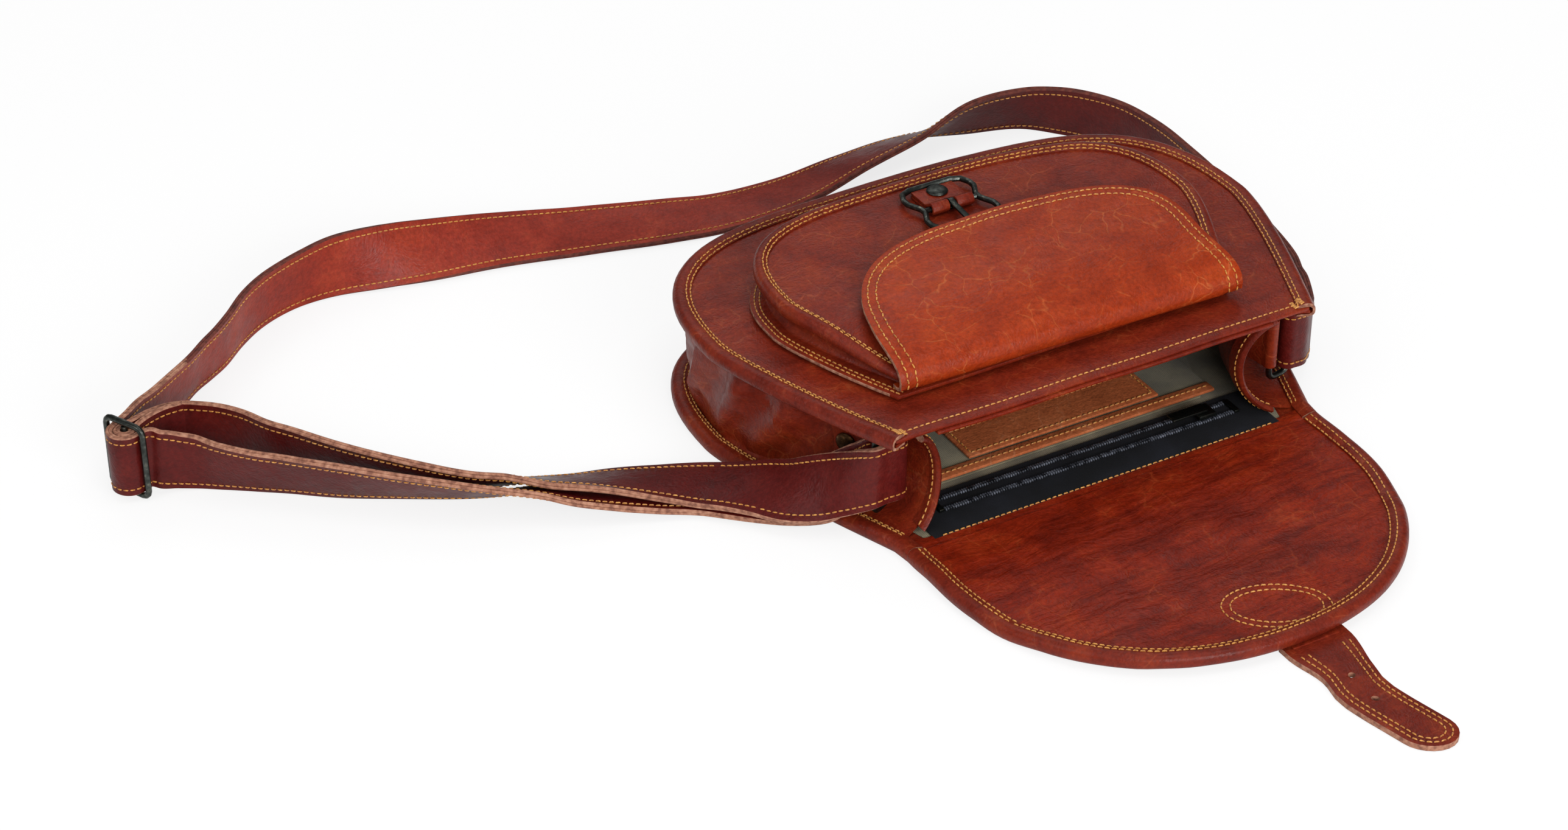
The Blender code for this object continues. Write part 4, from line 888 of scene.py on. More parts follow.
pocket_squeeze = 8.2 * MM
pocket_floor = 61.8 * MM
pocket_top = 80.4 * MM
pressed_run = (22 * MM, 78 * MM)


def settled_pocket(spot):
    """The pocket is pressed flatter towards its mouth, where its flap pulls it down."""
    moved = settled(spot)
    press = pocket_squeeze * (1 - ease(spot.y, *pressed_run)) / (pocket_top - pocket_floor)
    if spot.z > pocket_floor:
        moved.z -= press * (spot.z - pocket_floor)
    return moved


body_pieces = (
    ("back_panel", body_hide, 0.5 * MM, 8 * MM),
    ("mouth_facing", inner_hide, 0.3 * MM, 8 * MM),
    ("front_hem", body_hide, 0.4 * MM, 8 * MM),
    ("buckle_keeper", body_hide, 0.4 * MM, 5 * MM),
    ("ring_tab_left", body_hide, 0.4 * MM, 6 * MM),
    ("ring_tab_right", body_hide, 0.4 * MM, 6 * MM),
)
for node, material, edge, spacing in body_pieces:
    hides[node] = dressed(node, "hide", material, "bag", edge, spacing)
# the pocket's gusset bends round its corners: its surface is evened out
piece = joined_copy("pocket_gusset", "pocket_gusset_hide", dissolve=False)
with editing(piece):
    bpy.ops.mesh.tris_convert_to_quads(
        face_threshold=math.radians(60), shape_threshold=math.radians(80)
    )
shaped(piece, "SUBSURF", levels=2, render_levels=2, boundary_smooth="PRESERVE_CORNERS")
bend_with(piece, settled_pocket)
hides["pocket_gusset"] = finish_piece(piece, body_hide, "bag", ("pocket_gusset",))
for node in ("slip_pocket_edge", "inner_patch"):
    hides[node] = dressed(node, "hide", tan_hide, "bag", 0.4 * MM, 8 * MM, None)
for node in ("back_lining", "front_lining", "zip_pocket_wall", "slip_pocket"):
    hides[node] = dressed(node, "cloth", canvas, "bag", 0.1 * MM, 8 * MM)

# the zip's tapes run under the facing and the gusset's ends, and meet at the coils
tape_half = 96.0 * MM
tape_under = 3.0 * MM
tape_meet = 12.0 * MM
tape_far = 22.4 * MM
tape_gap = 0.1 * MM
facing_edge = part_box("mouth_facing")[1].y
tape_edges = {
    "zip_tape_flap": (facing_edge - tape_under, tape_meet - tape_gap),
    "zip_tape_bag": (tape_meet + tape_gap, tape_far),
}
for node, (near, far) in tape_edges.items():
    piece = joined_copy(node, node + "_cloth")
    low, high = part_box(node)
    for vertex in piece.data.vertices:
        vertex.co.x = math.copysign(tape_half, vertex.co.x)
        vertex.co.y = near if vertex.co.y < (low.y + high.y) / 2 else far
    cut_across(piece, 8 * MM, "x")
    hides[node] = finish_piece(piece, tape, "bag", (node,))

# the gusset: a soft strip between the two rims that caves in below the mouth and folds at the sides
wall_inset = 10.4 * MM
wall_leather = 1.4 * MM
slot_depth = 2.6 * MM
cave_depths = {True: 30.0 * MM, False: 22.0 * MM}
cave_shares = (
    (-0.1, 0.84), (0.03, 0.93), (0.1, 0.93), (0.21, 0.64), (0.33, 0.38), (0.47, 0.17), (0.66, 0.0)
)
fold_height = {True: 2.0 * MM, False: 6.2 * MM}
wall_steps = 30
# how sharply the hide turns in from the rims, near the mouth and below it
cave_power = 0.4
cave_power_drop = 0.14
cave_power_run = 16.5 * MM
# folds: millimetres of height for each radian, their slant across the wall, and where they fade
fold_pitch = 5.1
fold_slant = 46
fold_wander = 2.4
fold_wander_size = 40 * MM
crumple = 0.35
crumple_size = 9 * MM
fold_start = (40 * MM, 62 * MM)
fold_end = (130 * MM, 190 * MM)
fold_fade = 0.72


def cave(place, right_side):
    """How far the gusset caves in at a distance below the mouth."""
    share = place / body_bottom
    if share <= cave_shares[0][0]:
        return cave_depths[right_side] * cave_shares[0][1]
    for (r0, d0), (r1, d1) in zip(cave_shares, cave_shares[1:]):
        if r0 <= share <= r1:
            return cave_depths[right_side] * (d0 + (d1 - d0) * ease(share, r0, r1))
    return 0.0


def wall_line(index, rows, low, high, first=0.0, last=1.0):
    """The gusset's section at one outline point, from the back rim to the front rim."""
    back_wall, front_wall = rows
    place = back_outline[index][1]
    near = Vector((*back_wall[index], 0.0))
    far = Vector((*front_wall[index], 0.0))
    inward = (near - Vector((*back_outline[index], 0.0))).normalized()
    right_side = back_outline[index][0] > 0
    depth = cave(place, right_side)
    below = min(max((place - mouth_place) / cave_power_run, 0.0), 1.0)
    power = cave_power - cave_power_drop * below
    line = []
    for k in range(wall_steps + 1):
        share = first + (last - first) * k / wall_steps
        rise = math.sin(math.pi * share)
        spot = near.lerp(far, share)
        if 0 < share < 1:
            spot += inward * depth * rise**power
        spot.z = low + (high - low) * share
        slant = place / MM + fold_slant * (share - 0.5) * (1 - place / body_bottom)
        wander = fold_wander * ripple(spot, fold_wander_size, 2.7)
        folds = 0.5 + 0.5 * math.sin(slant / fold_pitch + wander)
        folds = folds**1.6 + crumple * ripple(spot, crumple_size, 6.1)
        free = ease(place, *fold_start) * (1 - fold_fade * ease(place, *fold_end))
        spot -= inward * fold_height[right_side] * folds * free * rise**0.7
        line.append(spot)
    return line


low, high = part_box("gusset")
wall_low = low.z + wall_leather / 2
wall_high = high.z - wall_leather / 2
wall_rows = (inset(back_outline, wall_inset), inset(front_outline, wall_inset))
slot_rows = (inset(back_outline, slot_depth), inset(front_outline, slot_depth))
points = []
for i in range(len(back_outline)):
    points.append(Vector((*slot_rows[0][i], wall_low)))
    points += wall_line(i, wall_rows, wall_low, wall_high)
    points.append(Vector((*slot_rows[1][i], wall_high)))
faces = grid_faces(len(back_outline), len(points) // len(back_outline), closed=False)
piece = mesh_piece("gusset_hide", points, faces, body_hide)
shaped(piece, "SOLIDIFY", thickness=wall_leather, offset=0.0)
hides["gusset"] = finish_piece(piece, body_hide, "bag", ("gusset",))

# a folded strip binds each end of the gusset, where it meets the mouth
bound_section = (
    (-4.0, 1.15), (0.0, 1.45), (3.4, 1.55), (4.7, 1.15), (5.5, 0.0), (4.7, -1.15), (3.4, -1.55),
    (0.0, -1.45), (-4.0, -1.15), (-4.0, -0.73), (0.4, -0.73), (0.4, 0.73), (-4.0, 0.73),
)
bound_seam = 1.6
bound_seam_height = 1.5 * MM
bound_shares = (0.03, 0.97)
for side, index in (("left", 0), ("right", len(back_outline) - 1)):
    line = wall_line(index, wall_rows, wall_low, wall_high, *bound_shares)
    points = []
    seams = ([], [])
    for k, spot in enumerate(line):
        run = (line[min(k + 1, wall_steps)] - line[max(k - 1, 0)]).normalized()
        across = run.cross(Vector((0.0, 1.0, 0.0))).normalized()
        for s_place, t_place in bound_section:
            points.append(spot + Vector((0.0, -s_place * MM, 0.0)) + across * t_place * MM)
        for seam, t_place in zip(seams, (bound_seam_height, -bound_seam_height)):
            seam.append(
                (spot + Vector((0.0, -bound_seam * MM, 0.0)) + across * t_place,
                 across * math.copysign(1.0, t_place))
            )
    node = "gusset_edge_" + side
    piece = strip_mesh(node + "_hide", points, len(bound_section), len(line))
    hides[node] = finish_piece(piece, None, "bag", (node,))
    hides[node + "_seams"] = seams

# the pocket's back layer stands out below its front as a flange with a raw edge
flange_growth = 3.6 * MM
flange_side_run = (-20 * MM, 60 * MM)
flange_end_run = (110 * MM, 150 * MM)
flange_loop = []
for (x, y), (inner_x, inner_y) in zip(inset(pocket_outline, -flange_growth), pocket_outline):
    share = ease(pocket_centre - x, *flange_side_run) * (1 - ease(y, *flange_end_run))
    flange_loop.append((inner_x + (x - inner_x) * share, inner_y + (y - inner_y) * share))

# rims, each with its underside's height
flap_start = flap_hinge + hinge_slit
back_rim_outline = [(-flap_half, flap_start)] + back_outline + [(flap_half, flap_start)]
for node, outline, low, width, rule in (
    ("back_binding", back_rim_outline, 0.0, rim_width, settled),
    ("front_binding", front_outline, 55.4 * MM, rim_width, settled),
    ("pocket_binding", pocket_outline, 74.3 * MM, pocket_rim_width, settled_pocket),
):
    piece = rim(node + "_hide", outline, low, width)
    bend_with(piece, rule)
    hides[node] = finish_piece(piece, None, "bag", (node,))

# front and pocket front, each one cut piece
panel_edge = 2.9 * MM
panel_thick = 1.6 * MM
front_top_height = 60.1 * MM
pocket_top_height = 79.0 * MM
flange_top_height = 63.6 * MM
flange_thick = 1.9 * MM
flange_cut_start = 27 * MM
pocket_middle = (pocket_centre, 88 * MM)


def laid_at(rule, height):
    """A rule that lays flat-cut hide at a height and lets it settle."""
    return lambda x, y: rule(Vector((x, y, height)))


front_loop = closed_loop(inset(front_outline, panel_edge))
piece = hide_sheet(
    "front_panel_hide", front_loop, (front_shift, 92 * MM), laid_at(settled, front_top_height),
    panel_thick, body_hide, 30,
)
hides["front_panel"] = finish_piece(piece, body_hide, "bag", ("front_panel",))
pocket_loop = closed_loop(inset(pocket_outline, panel_edge))
piece = hide_sheet(
    "pocket_front_hide", pocket_loop, pocket_middle, laid_at(settled_pocket, pocket_top_height),
    panel_thick, body_hide, 26,
)
hides["pocket_front"] = finish_piece(piece, body_hide, "bag", ("pocket_front",))
piece = hide_sheet(
    "pocket_back_hide", closed_loop(flange_loop), pocket_middle,
    laid_at(settled, flange_top_height), flange_thick, body_hide, 20,
)
piece.data.materials.append(cut_edge)
for polygon in piece.data.polygons:
    on_cut = abs(polygon.normal.z) < 0.5 and polygon.center.y > flange_cut_start
    polygon.material_index = int(on_cut)
hides["pocket_back"] = finish_piece(piece, None, "bag", ("pocket_back",))

# the pocket's flap: one piece, sewn along the pocket's mouth, that rolls over it
flap_profile = (
    (27.0, 64.4), (22.8, 64.4), (20.6, 65.0), (19.4, 67.4), (19.6, 70.8), (21.6, 74.6),
    (26.0, 77.8), (33.0, 80.0), (42.0, 81.8), (54.0, 83.4), (68.0, 84.7), (86.0, 85.8),
    (100.0, 86.4), (109.2, 86.6),
)


def even_curve(stations, steps):
    """A smooth curve through uneven stations, both ends included."""
    count = len(stations)
    spots = [tuple(2 * a - b for a, b in zip(stations[0], stations[1]))]
    spots += list(stations)
    spots += [tuple(2 * a - b for a, b in zip(stations[-1], stations[-2]))]
    spans = [math.dist(here[:3], there[:3]) ** 0.5 for here, there in zip(spots, spots[1:])]
    route = []
    for i in range(1, count):
        before, span, after = spans[i - 1 : i + 2]
        for k in range(steps):
            t = k / steps
            spot = []
            for a, b, c, d in zip(*spots[i - 1 : i + 3]):
                leave = span * ((b - a) / before - (c - a) / (before + span)) + c - b
                arrive = span * ((d - c) / after - (d - b) / (span + after)) + c - b
                bend = 3 * (c - b) - 2 * leave - arrive
                twist = leave + arrive - 2 * (c - b)
                spot.append(b + leave * t + bend * t * t + twist * t**3)
            route.append(tuple(spot))
    route.append(tuple(stations[-1]))
    return route


flap_section = even_curve([(y * MM, z * MM) for y, z in flap_profile], 5)
section_lengths = [0.0]
for (y0, z0), (y1, z1) in zip(flap_section, flap_section[1:]):
    section_lengths.append(section_lengths[-1] + math.hypot(y1 - y0, z1 - z0))
leaf_length = section_lengths[-1]
# along Y the flap rises off its root over the first stretch, and moves aside over the second
out_run = (21 * MM, 60 * MM)
skew_run = (40 * MM, 105 * MM)
root_skew = 2.2 * MM
root_spread = 2.5 * MM
root_shift = 0.5 * MM
low_spread = 5 * MM
leaf_crown = 1.6 * MM
leaf_dimple = 0.5 * MM
leaf_dimple_size = 26 * MM


def rolled_place(x, along):
    """Where a point of the flat-cut pocket flap lies once it is rolled over the pocket."""
    along = min(max(along, 0.0), leaf_length)
    k = 0
    while k < len(section_lengths) - 2 and section_lengths[k + 1] < along:
        k += 1
    share = (along - section_lengths[k]) / (section_lengths[k + 1] - section_lengths[k])
    y = flap_section[k][0] + share * (flap_section[k + 1][0] - flap_section[k][0])
    z = flap_section[k][1] + share * (flap_section[k + 1][1] - flap_section[k][1])
    side = x / pocket_flap_half
    upper = ease(y, *skew_run)
    out = ease(y, *out_run)
    spot = Vector((x + pocket_centre + pocket_flap_skew * upper, y, z))
    spot.x -= upper * min(side, 0.0) * low_spread
    spot.y -= (1 - upper) * root_skew * side
    spot.x += (1 - out) * (root_spread * side + root_shift)
    crown = max(1 - side * side, 0.0)
    spot.z += out * (1 - upper * 0.7) * leaf_crown * crown
    spot.z += leaf_dimple * crown * out * ripple(spot, leaf_dimple_size, 4.4)
    return spot


# flat-cut: straight sides to the corners, then one curve to the lower edge's middle
leaf_corner = 0.42 * (pocket_flap_end - pocket_flap_start) + 18 * MM
leaf_thick = 2.2 * MM
side_count = 14
leaf_half = [(pocket_flap_half, leaf_corner * i / side_count) for i in range(side_count)]
leaf_half += bezier(
    (pocket_flap_half, leaf_corner),
    (pocket_flap_half, leaf_corner + 0.75 * (leaf_length - leaf_corner)),
    (0.72 * pocket_flap_half, leaf_length), (0.0, leaf_length), 44,
)
leaf_outline = mirrored(leaf_half)
pocket_way = ("bag", "pocket_flap", (0.0, 20.5 * MM, 67 * MM), (0.0, 42 * MM, 80 * MM))
piece = hide_sheet(
    "pocket_flap_hide", closed_loop(leaf_outline), (0.0, 0.55 * leaf_length), rolled_place,
    leaf_thick, flap_hide, 34, cut_edge,
)
finish_piece(piece, None, None, ("pocket_flap_root", "pocket_flap"))
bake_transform(piece)
hides["pocket_flap"] = piece

# the main flap: facing, outer hide and folded rim run on over both folds
flap_cut = second_hinge + hinge_slit
fold_step = 1.6 * MM
fold_run = 7.5 * MM
fold_cuts = [hinge + k * fold_step for hinge in (flap_hinge, second_hinge) for k in range(-5, 1)]
first_way = ("bag", "flap_bridge", (0.0, flap_start, 0.0), (0.0, flap_start - fold_run, 0.0))
second_way = ("flap_bridge", "flap_front", (0.0, flap_cut, 0.0), (0.0, flap_cut - fold_run, 0.0))
# each half's name, its blend, and whether it is kept above the second fold's cut
flap_halves = (("flap_near_", first_way, True), ("flap_far_", second_way, False))
flap_middle = (0.0, -75 * MM)
flap_lift = 3.8 * MM


def lifted(place):
    """How much higher the flap's sheet lies at a place along Y, on its own rim."""
    return flap_lift * max((second_hinge - place) / (second_hinge - flap_tip), 0.0)


def flap_place(height):
    """A rule that lays flat-cut hide where the open flap lies."""
    return lambda x, y: settled_flap(Vector((x, y, height + lifted(y))))


flap_sides = [(flap_half, flap_start - (flap_start - flap_side_end) * i / 8) for i in range(8)]
flap_outline = mirrored(flap_sides + flap_curve)
flap_parts = {}
for part, height, thick, material, nodes in (
    ("facing", 4.75 * MM, 1.3 * MM, inner_hide, ("flap_bridge_facing", "flap_front_facing")),
    ("outer", 1.7 * MM, 1.6 * MM, body_hide, ("flap_bridge", "flap_front")),
):
    for k, (half_name, way, keep_above) in enumerate(flap_halves):
        piece = hide_sheet(
            half_name + part + "_hide", closed_loop(inset(flap_outline, panel_edge, -1)),
            flap_middle, flap_place(height), thick, material, 34,
        )
        cut_near(piece, fold_cuts)
        kept(piece, flap_cut, keep_above)
        finish_piece(piece, material, None, (nodes[k],))
        flap_parts[part, k] = (piece, way)
rim_nodes = (("flap_bridge_binding_left", "flap_bridge_binding_right"), ("flap_binding",))
for k, (half_name, way, keep_above) in enumerate(flap_halves):
    piece = rim(half_name + "rim_hide", flap_outline, 0.0, side=-1)
    for vertex in piece.data.vertices:
        vertex.co.z += lifted(vertex.co.y)
    cut_near(piece, fold_cuts)
    kept(piece, flap_cut, keep_above)
    bend_with(piece, settled_flap)
    finish_piece(piece, None, None, rim_nodes[k])
    flap_parts["rim", k] = (piece, way)
for piece, way in flap_parts.values():
    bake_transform(piece)

hides["closing_strap_base"] = dressed(
    "closing_strap_base", "hide", body_hide, "flap_front", 0.3 * MM, 5 * MM, None,
    "xy",
)

# the closing strap runs on under the flap, where it is sewn to its base
closing_root = -150.5 * MM
closing_shown = -158.4 * MM
closing_half = 12.5 * MM
closing_end = -240.2 * MM
closing_fold = (-154 * MM, -161 * MM)
closing_middle = 1.5 * MM
tucked_low = 0.15 * MM
tucked_high = 2.9 * MM
piece = joined_copy("closing_strap", "closing_strap_hide")
for vertex in piece.data.vertices:
    if vertex.co.y > closing_shown:
        vertex.co.z = tucked_low if vertex.co.z < closing_middle else tucked_high
        vertex.co.y = closing_root
round_edges(piece, 0.6 * MM)
cut_across(piece, 4 * MM, "xy")
bend_with(piece, settled_closing)
piece.data.materials.append(rim_hide)
piece.data.materials.append(cut_edge)
for polygon in piece.data.polygons:
    polygon.material_index = int(abs(polygon.normal.z) < 0.3 and polygon.center.z < 2.0 * MM)
finish_piece(piece, None, None, ("closing_strap",))
closing_way = (
    "flap_front", "closing_strap", (0.0, closing_fold[0], 0.0), (0.0, closing_fold[1], 0.0)
)
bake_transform(piece)
hides["closing_strap"] = piece

# the cast pieces, each with its body
metal_pieces = {
    "buckle_frame": "buckle_frame", "buckle_tongue": "buckle_tongue", "buckle_rivet": "bag",
    "ring_left": "bag", "ring_right": "bag", "tab_rivet_left": "bag", "tab_rivet_right": "bag",
    "zip_stop_left": "bag", "zip_stop_right": "bag", "zip_slider": "zip_slider",
    "zip_pull": "zip_pull", "slide_frame": "strap", "slide_bar": "strap",
}
for node, body in metal_pieces.items():
    cast = bronze if node.startswith("tab_rivet") else metal
    hides[node] = dressed(node, "metal", cast, body, 0.25 * MM, 0, None)


# Stitches
def rounded_rod(axis, radius, length, reach, dip, taper, vertices):
    """A short rod along X or Y whose ends taper and dip, as its corners and faces."""
    turned = [0.0, 0.0, 0.0]
    turned[1 - axis] = math.pi / 2
    narrowed = [taper, taper, taper]
    narrowed[axis] = 1.0
    bpy.ops.object.select_all(action="DESELECT")
    bpy.ops.mesh.primitive_cylinder_add(
        vertices=vertices, radius=radius, depth=length, rotation=turned
    )
    piece = bpy.context.active_object
    bpy.ops.object.transform_apply(location=False, rotation=True, scale=False)
    for side in (-1, 1):
        bpy.ops.object.mode_set(mode="EDIT")
        bpy.ops.mesh.select_mode(type="FACE")
        bpy.ops.mesh.select_all(action="DESELECT")
        mesh = bmesh.from_edit_mesh(piece.data)
        for face in mesh.faces:
            face.select_set(face.normal[axis] * side > 0.9)
        bmesh.update_edit_mesh(piece.data)
        outward = [0.0, 0.0, -dip]
        outward[axis] = side * reach
        bpy.ops.mesh.extrude_region_move(TRANSFORM_OT_translate={"value": outward})
        bpy.ops.transform.resize(value=narrowed)
        bpy.ops.object.mode_set(mode="OBJECT")
    corners = [vertex.co.copy() for vertex in piece.data.vertices]
    faces = [tuple(polygon.vertices) for polygon in piece.data.polygons]
    bpy.data.objects.remove(piece, do_unlink=True)
    return corners, faces


# one stitch along X: a rounded run of thread whose ends dip into their holes
stitch = rounded_rod(
    0, thread_radius, 0.62 * stitch_pitch * stitch_share, 0.19 * stitch_pitch * stitch_share,
    0.5 * thread_radius, 0.55, 6,
)


def copies_along(name, spots, pitch, shape, lean=0.0, lift=0.0):
    """Copies of a small modelled shape laid along lines of (place, normal)."""
    corners, faces = shape
    points = []
    polygons = []
    for line in spots:
        travelled = [0.0]
        for (a, _), (b, _) in zip(line, line[1:]):
            travelled.append(travelled[-1] + (b - a).length)
        count = int(travelled[-1] / pitch)
        k = 0
        for i in range(count):
            place = (i + 0.5) * travelled[-1] / count
            while k < len(line) - 2 and travelled[k + 1] < place:
                k += 1
            span = travelled[k + 1] - travelled[k]
            share = (place - travelled[k]) / span if span else 0.0
            spot = line[k][0].lerp(line[k + 1][0], share)
            ahead = (line[k + 1][0] - line[k][0]).normalized()
            up = line[k][1].lerp(line[k + 1][1], share).normalized()
            side = up.cross(ahead).normalized()
            ahead = side.cross(up)
            tilt = lean * (1 if i % 2 else -1) + chance.uniform(-0.05, 0.05)
            ahead, side = (
                ahead * math.cos(tilt) + side * math.sin(tilt),
                side * math.cos(tilt) - ahead * math.sin(tilt),
            )
            first = len(points)
            spot = spot + up * lift
            for corner in corners:
                points.append(spot + ahead * corner.x + side * corner.y + up * corner.z)
            polygons += [tuple(first + index for index in face) for face in faces]
    return new_piece(name, points, polygons)


def surface_under(pieces):
    """What a needle coming down meets first."""
    mesh = bmesh.new()
    for piece in pieces:
        mesh.from_mesh(piece.data)
    bmesh.ops.triangulate(mesh, faces=mesh.faces[:])
    tree = BVHTree.FromBMesh(mesh)
    mesh.free()
    return tree


def dropped(line, pieces, step=1.4 * MM, lowest=-1.0, side=1):
    """The line's places and normals on the pieces' upper side, or lower at side -1, in runs."""
    tree = surface_under(pieces)
    flat = [Vector((x, y, 0.0)) for x, y in line]
    fine = []
    for a, b in zip(flat, flat[1:]):
        count = max(int((b - a).length / step), 1)
        fine += [a.lerp(b, i / count) for i in range(count)]
    fine.append(flat[-1])
    runs = [[]]
    for spot in fine:
        above = Vector((0.0, 0.0, side * 0.2))
        hit, normal, _, _ = tree.ray_cast(spot + above, -above.normalized())
        if hit is None or hit.z < lowest:
            if runs[-1]:
                runs.append([])
            continue
        runs[-1].append((hit, normal))
    return [run for run in runs if len(run) > 2]


def sewn(name, spots, body, lean=0.0, blended=None, lift=thread_radius - seam_sink):
    """A seam's stitches, which ride on a body, or are baked in place where a blend is given."""
    piece = copies_along(name, spots, stitch_pitch, stitch, lean, lift)
    finish_piece(piece, thread, None if blended else body)
    if blended:
        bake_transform(piece)


def along_rim(name, outline, distance, pieces, lowest=-1.0):
    """A leaning seam along a rim of the bag."""
    sewn(name, dropped(inset(outline, distance), pieces, lowest=lowest), "bag", rim_lean)


def oval(centre, half_long, half_wide, turn, count=48):
    """A closed oval, turned."""
    points = []
    for i in range(count + 1):
        angle = 2 * math.pi * i / count
        along = half_long * math.cos(angle)
        across = half_wide * math.sin(angle)
        points.append(
            (
                centre[0] + along * math.cos(turn) - across * math.sin(turn),
                centre[1] + along * math.sin(turn) + across * math.cos(turn),
            )
        )
    return points


front_top = [hides["front_binding"], hides["front_panel"]]
above_back = 40 * MM
above_front = 60 * MM
above_pocket = 65 * MM
mouth_seam = 0.8 * MM
mouth_seam_short = 5 * MM
for k, distance in enumerate(rim_seams):
    along_rim("front_rim_stitches_" + str(k), front_outline, distance, front_top, above_back)
    along_rim("back_rim_stitches_" + str(k), back_outline, distance, [hides["back_binding"]])
pocket_pieces = [hides["pocket_binding"], hides["pocket_front"]]
for k, distance in enumerate(pocket_rim_seams):
    along_rim(
        "pocket_rim_stitches_" + str(k), pocket_outline, distance, pocket_pieces, above_pocket
    )
mouth_seam_half = mouth_half - mouth_seam_short
sewn(
    "front_mouth_stitches",
    dropped(
        [(front_shift - mouth_seam_half, mouth_seam), (front_shift + mouth_seam_half, mouth_seam)],
        front_top, lowest=above_back,
    ),
    "bag",
)
leaf_seam_start = 6 * MM
leaf_seam_step = 1.5 * MM
nearby = 0.5 * MM
for k, distance in enumerate(pocket_flap_seams):
    seam = inset(leaf_outline, distance)
    line = []
    for (x0, y0), (x1, y1) in zip(seam, seam[1:]):
        count = max(int(math.hypot(x1 - x0, y1 - y0) / leaf_seam_step), 1)
        for i in range(count):
            x = x0 + (x1 - x0) * i / count
            y = y0 + (y1 - y0) * i / count
            if y < leaf_seam_start:
                continue
            here = rolled_place(x, y)
            ahead = rolled_place(x, y + nearby) - here
            aside = rolled_place(x + nearby, y) - here
            line.append((here, aside.cross(ahead).normalized()))
    sewn("pocket_flap_stitches_" + str(k), [line], None, flap_lean, pocket_way)
# the flap's seams show on both of its sides, and are drawn tighter on the outer one
for part, label, side, lift in (
    ("facing", "stitches_", 1, thread_radius - seam_sink),
    ("outer", "outer_stitches_", -1, outer_lift),
):
    for k, (half_name, way, _) in enumerate(flap_halves):
        surfaces = [flap_parts["rim", k][0], flap_parts[part, k][0]]
        for j, distance in enumerate(flap_rim_seams):
            line = dropped(inset(flap_outline, distance, -1), surfaces, side=side)
            sewn(half_name + label + str(j), line, None, blended=way, lift=lift)
for k, distance in enumerate(rim_seams):
    line = dropped(inset(back_outline, distance), [hides["back_binding"]], side=-1)
    sewn("back_outer_stitches_" + str(k), line, "bag", lift=outer_lift)
# an oval of two rows holds the closing strap's base
oval_middle = (5.1 * MM, -131.3 * MM)
oval_turn = -0.5
for k, (long_half, wide_half) in enumerate(((24.6 * MM, 16.4 * MM), (20.6 * MM, 12.6 * MM))):
    line = dropped(oval(oval_middle, long_half, wide_half, oval_turn), [flap_parts["facing", 1][0]])
    sewn("flap_oval_stitches_" + str(k), line, "flap_front")
for side in ("left", "right"):
    sewn("gusset_end_stitches_" + side, hides["gusset_edge_" + side + "_seams"], "bag")
flange_seam_end = pocket_centre - 30 * MM
for k, distance in enumerate(flange_seams):
    line = [spot for spot in inset(flange_loop, distance) if spot[0] < flange_seam_end]
    line = dropped(line, [hides["pocket_back"]], lowest=above_front)
    sewn("pocket_flange_stitches_" + str(k), line, "bag")
# the mouth's corners are tacked with a few turns of thread
tack_inset = 7 * MM
tack_half = 3.2 * MM
tack_step = 0.8 * MM
tack_place = 0.6 * MM
for label, side in (("left", -1), ("right", 1)):
    middle = front_shift + side * (mouth_half - tack_inset)
    turns = []
    for k in range(-3, 4):
        y = tack_place + k * tack_step
        turns += dropped(
            [(middle - tack_half, y), (middle + tack_half, y)], front_top, 1 * MM, above_back
        )
    sewn("corner_tack_stitches_" + label, turns, "bag")


def across_piece(name, node, start, end, place):
    """A straight seam over a piece at a place along Y."""
    sewn(name, dropped([(start, place), (end, place)], [hides[node]]), "bag")


patch_seam = 2.4 * MM
low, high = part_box("inner_patch")
left, right = low.x + patch_seam, high.x - patch_seam
near, far = low.y + patch_seam, high.y - patch_seam
line = [(left, near), (right, near), (right, far), (left, far), (left, near)]
sewn("inner_patch_stitches", dropped(line, [hides["inner_patch"]]), "bag")
edge_seam_short = 2 * MM
low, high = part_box("slip_pocket_edge")
across_piece(
    "slip_edge_stitches", "slip_pocket_edge", low.x + edge_seam_short, high.x - edge_seam_short,
    (low.y + high.y) / 2,
)
facing_seam = 2.6 * MM
facing_seam_half = 92 * MM
across_piece(
    "zip_seam_stitches", "mouth_facing", -facing_seam_half, facing_seam_half,
    facing_edge - facing_seam,
)


def closing_outline(inside):
    """The closing strap's edge, a little inside it."""
    half = closing_half - inside
    end = closing_end + inside
    side = [(half, closing_fold[1] - k * 3.0 * MM) for k in range(22)]
    tip = bezier((half, end + half), (half, end + 0.45 * half), (0.55 * half, end), (0.0, end), 14)
    curved = []
    for x, y in mirrored(side + tip):
        moved = settled_closing(Vector((closing_centre + x, y, 0.0)))
        curved.append((moved.x, moved.y))
    return curved


for k, inside in enumerate(closing_seams):
    line = dropped(closing_outline(inside), [hides["closing_strap"]])
    sewn("closing_strap_stitches_" + str(k), line, None, blended=closing_way)


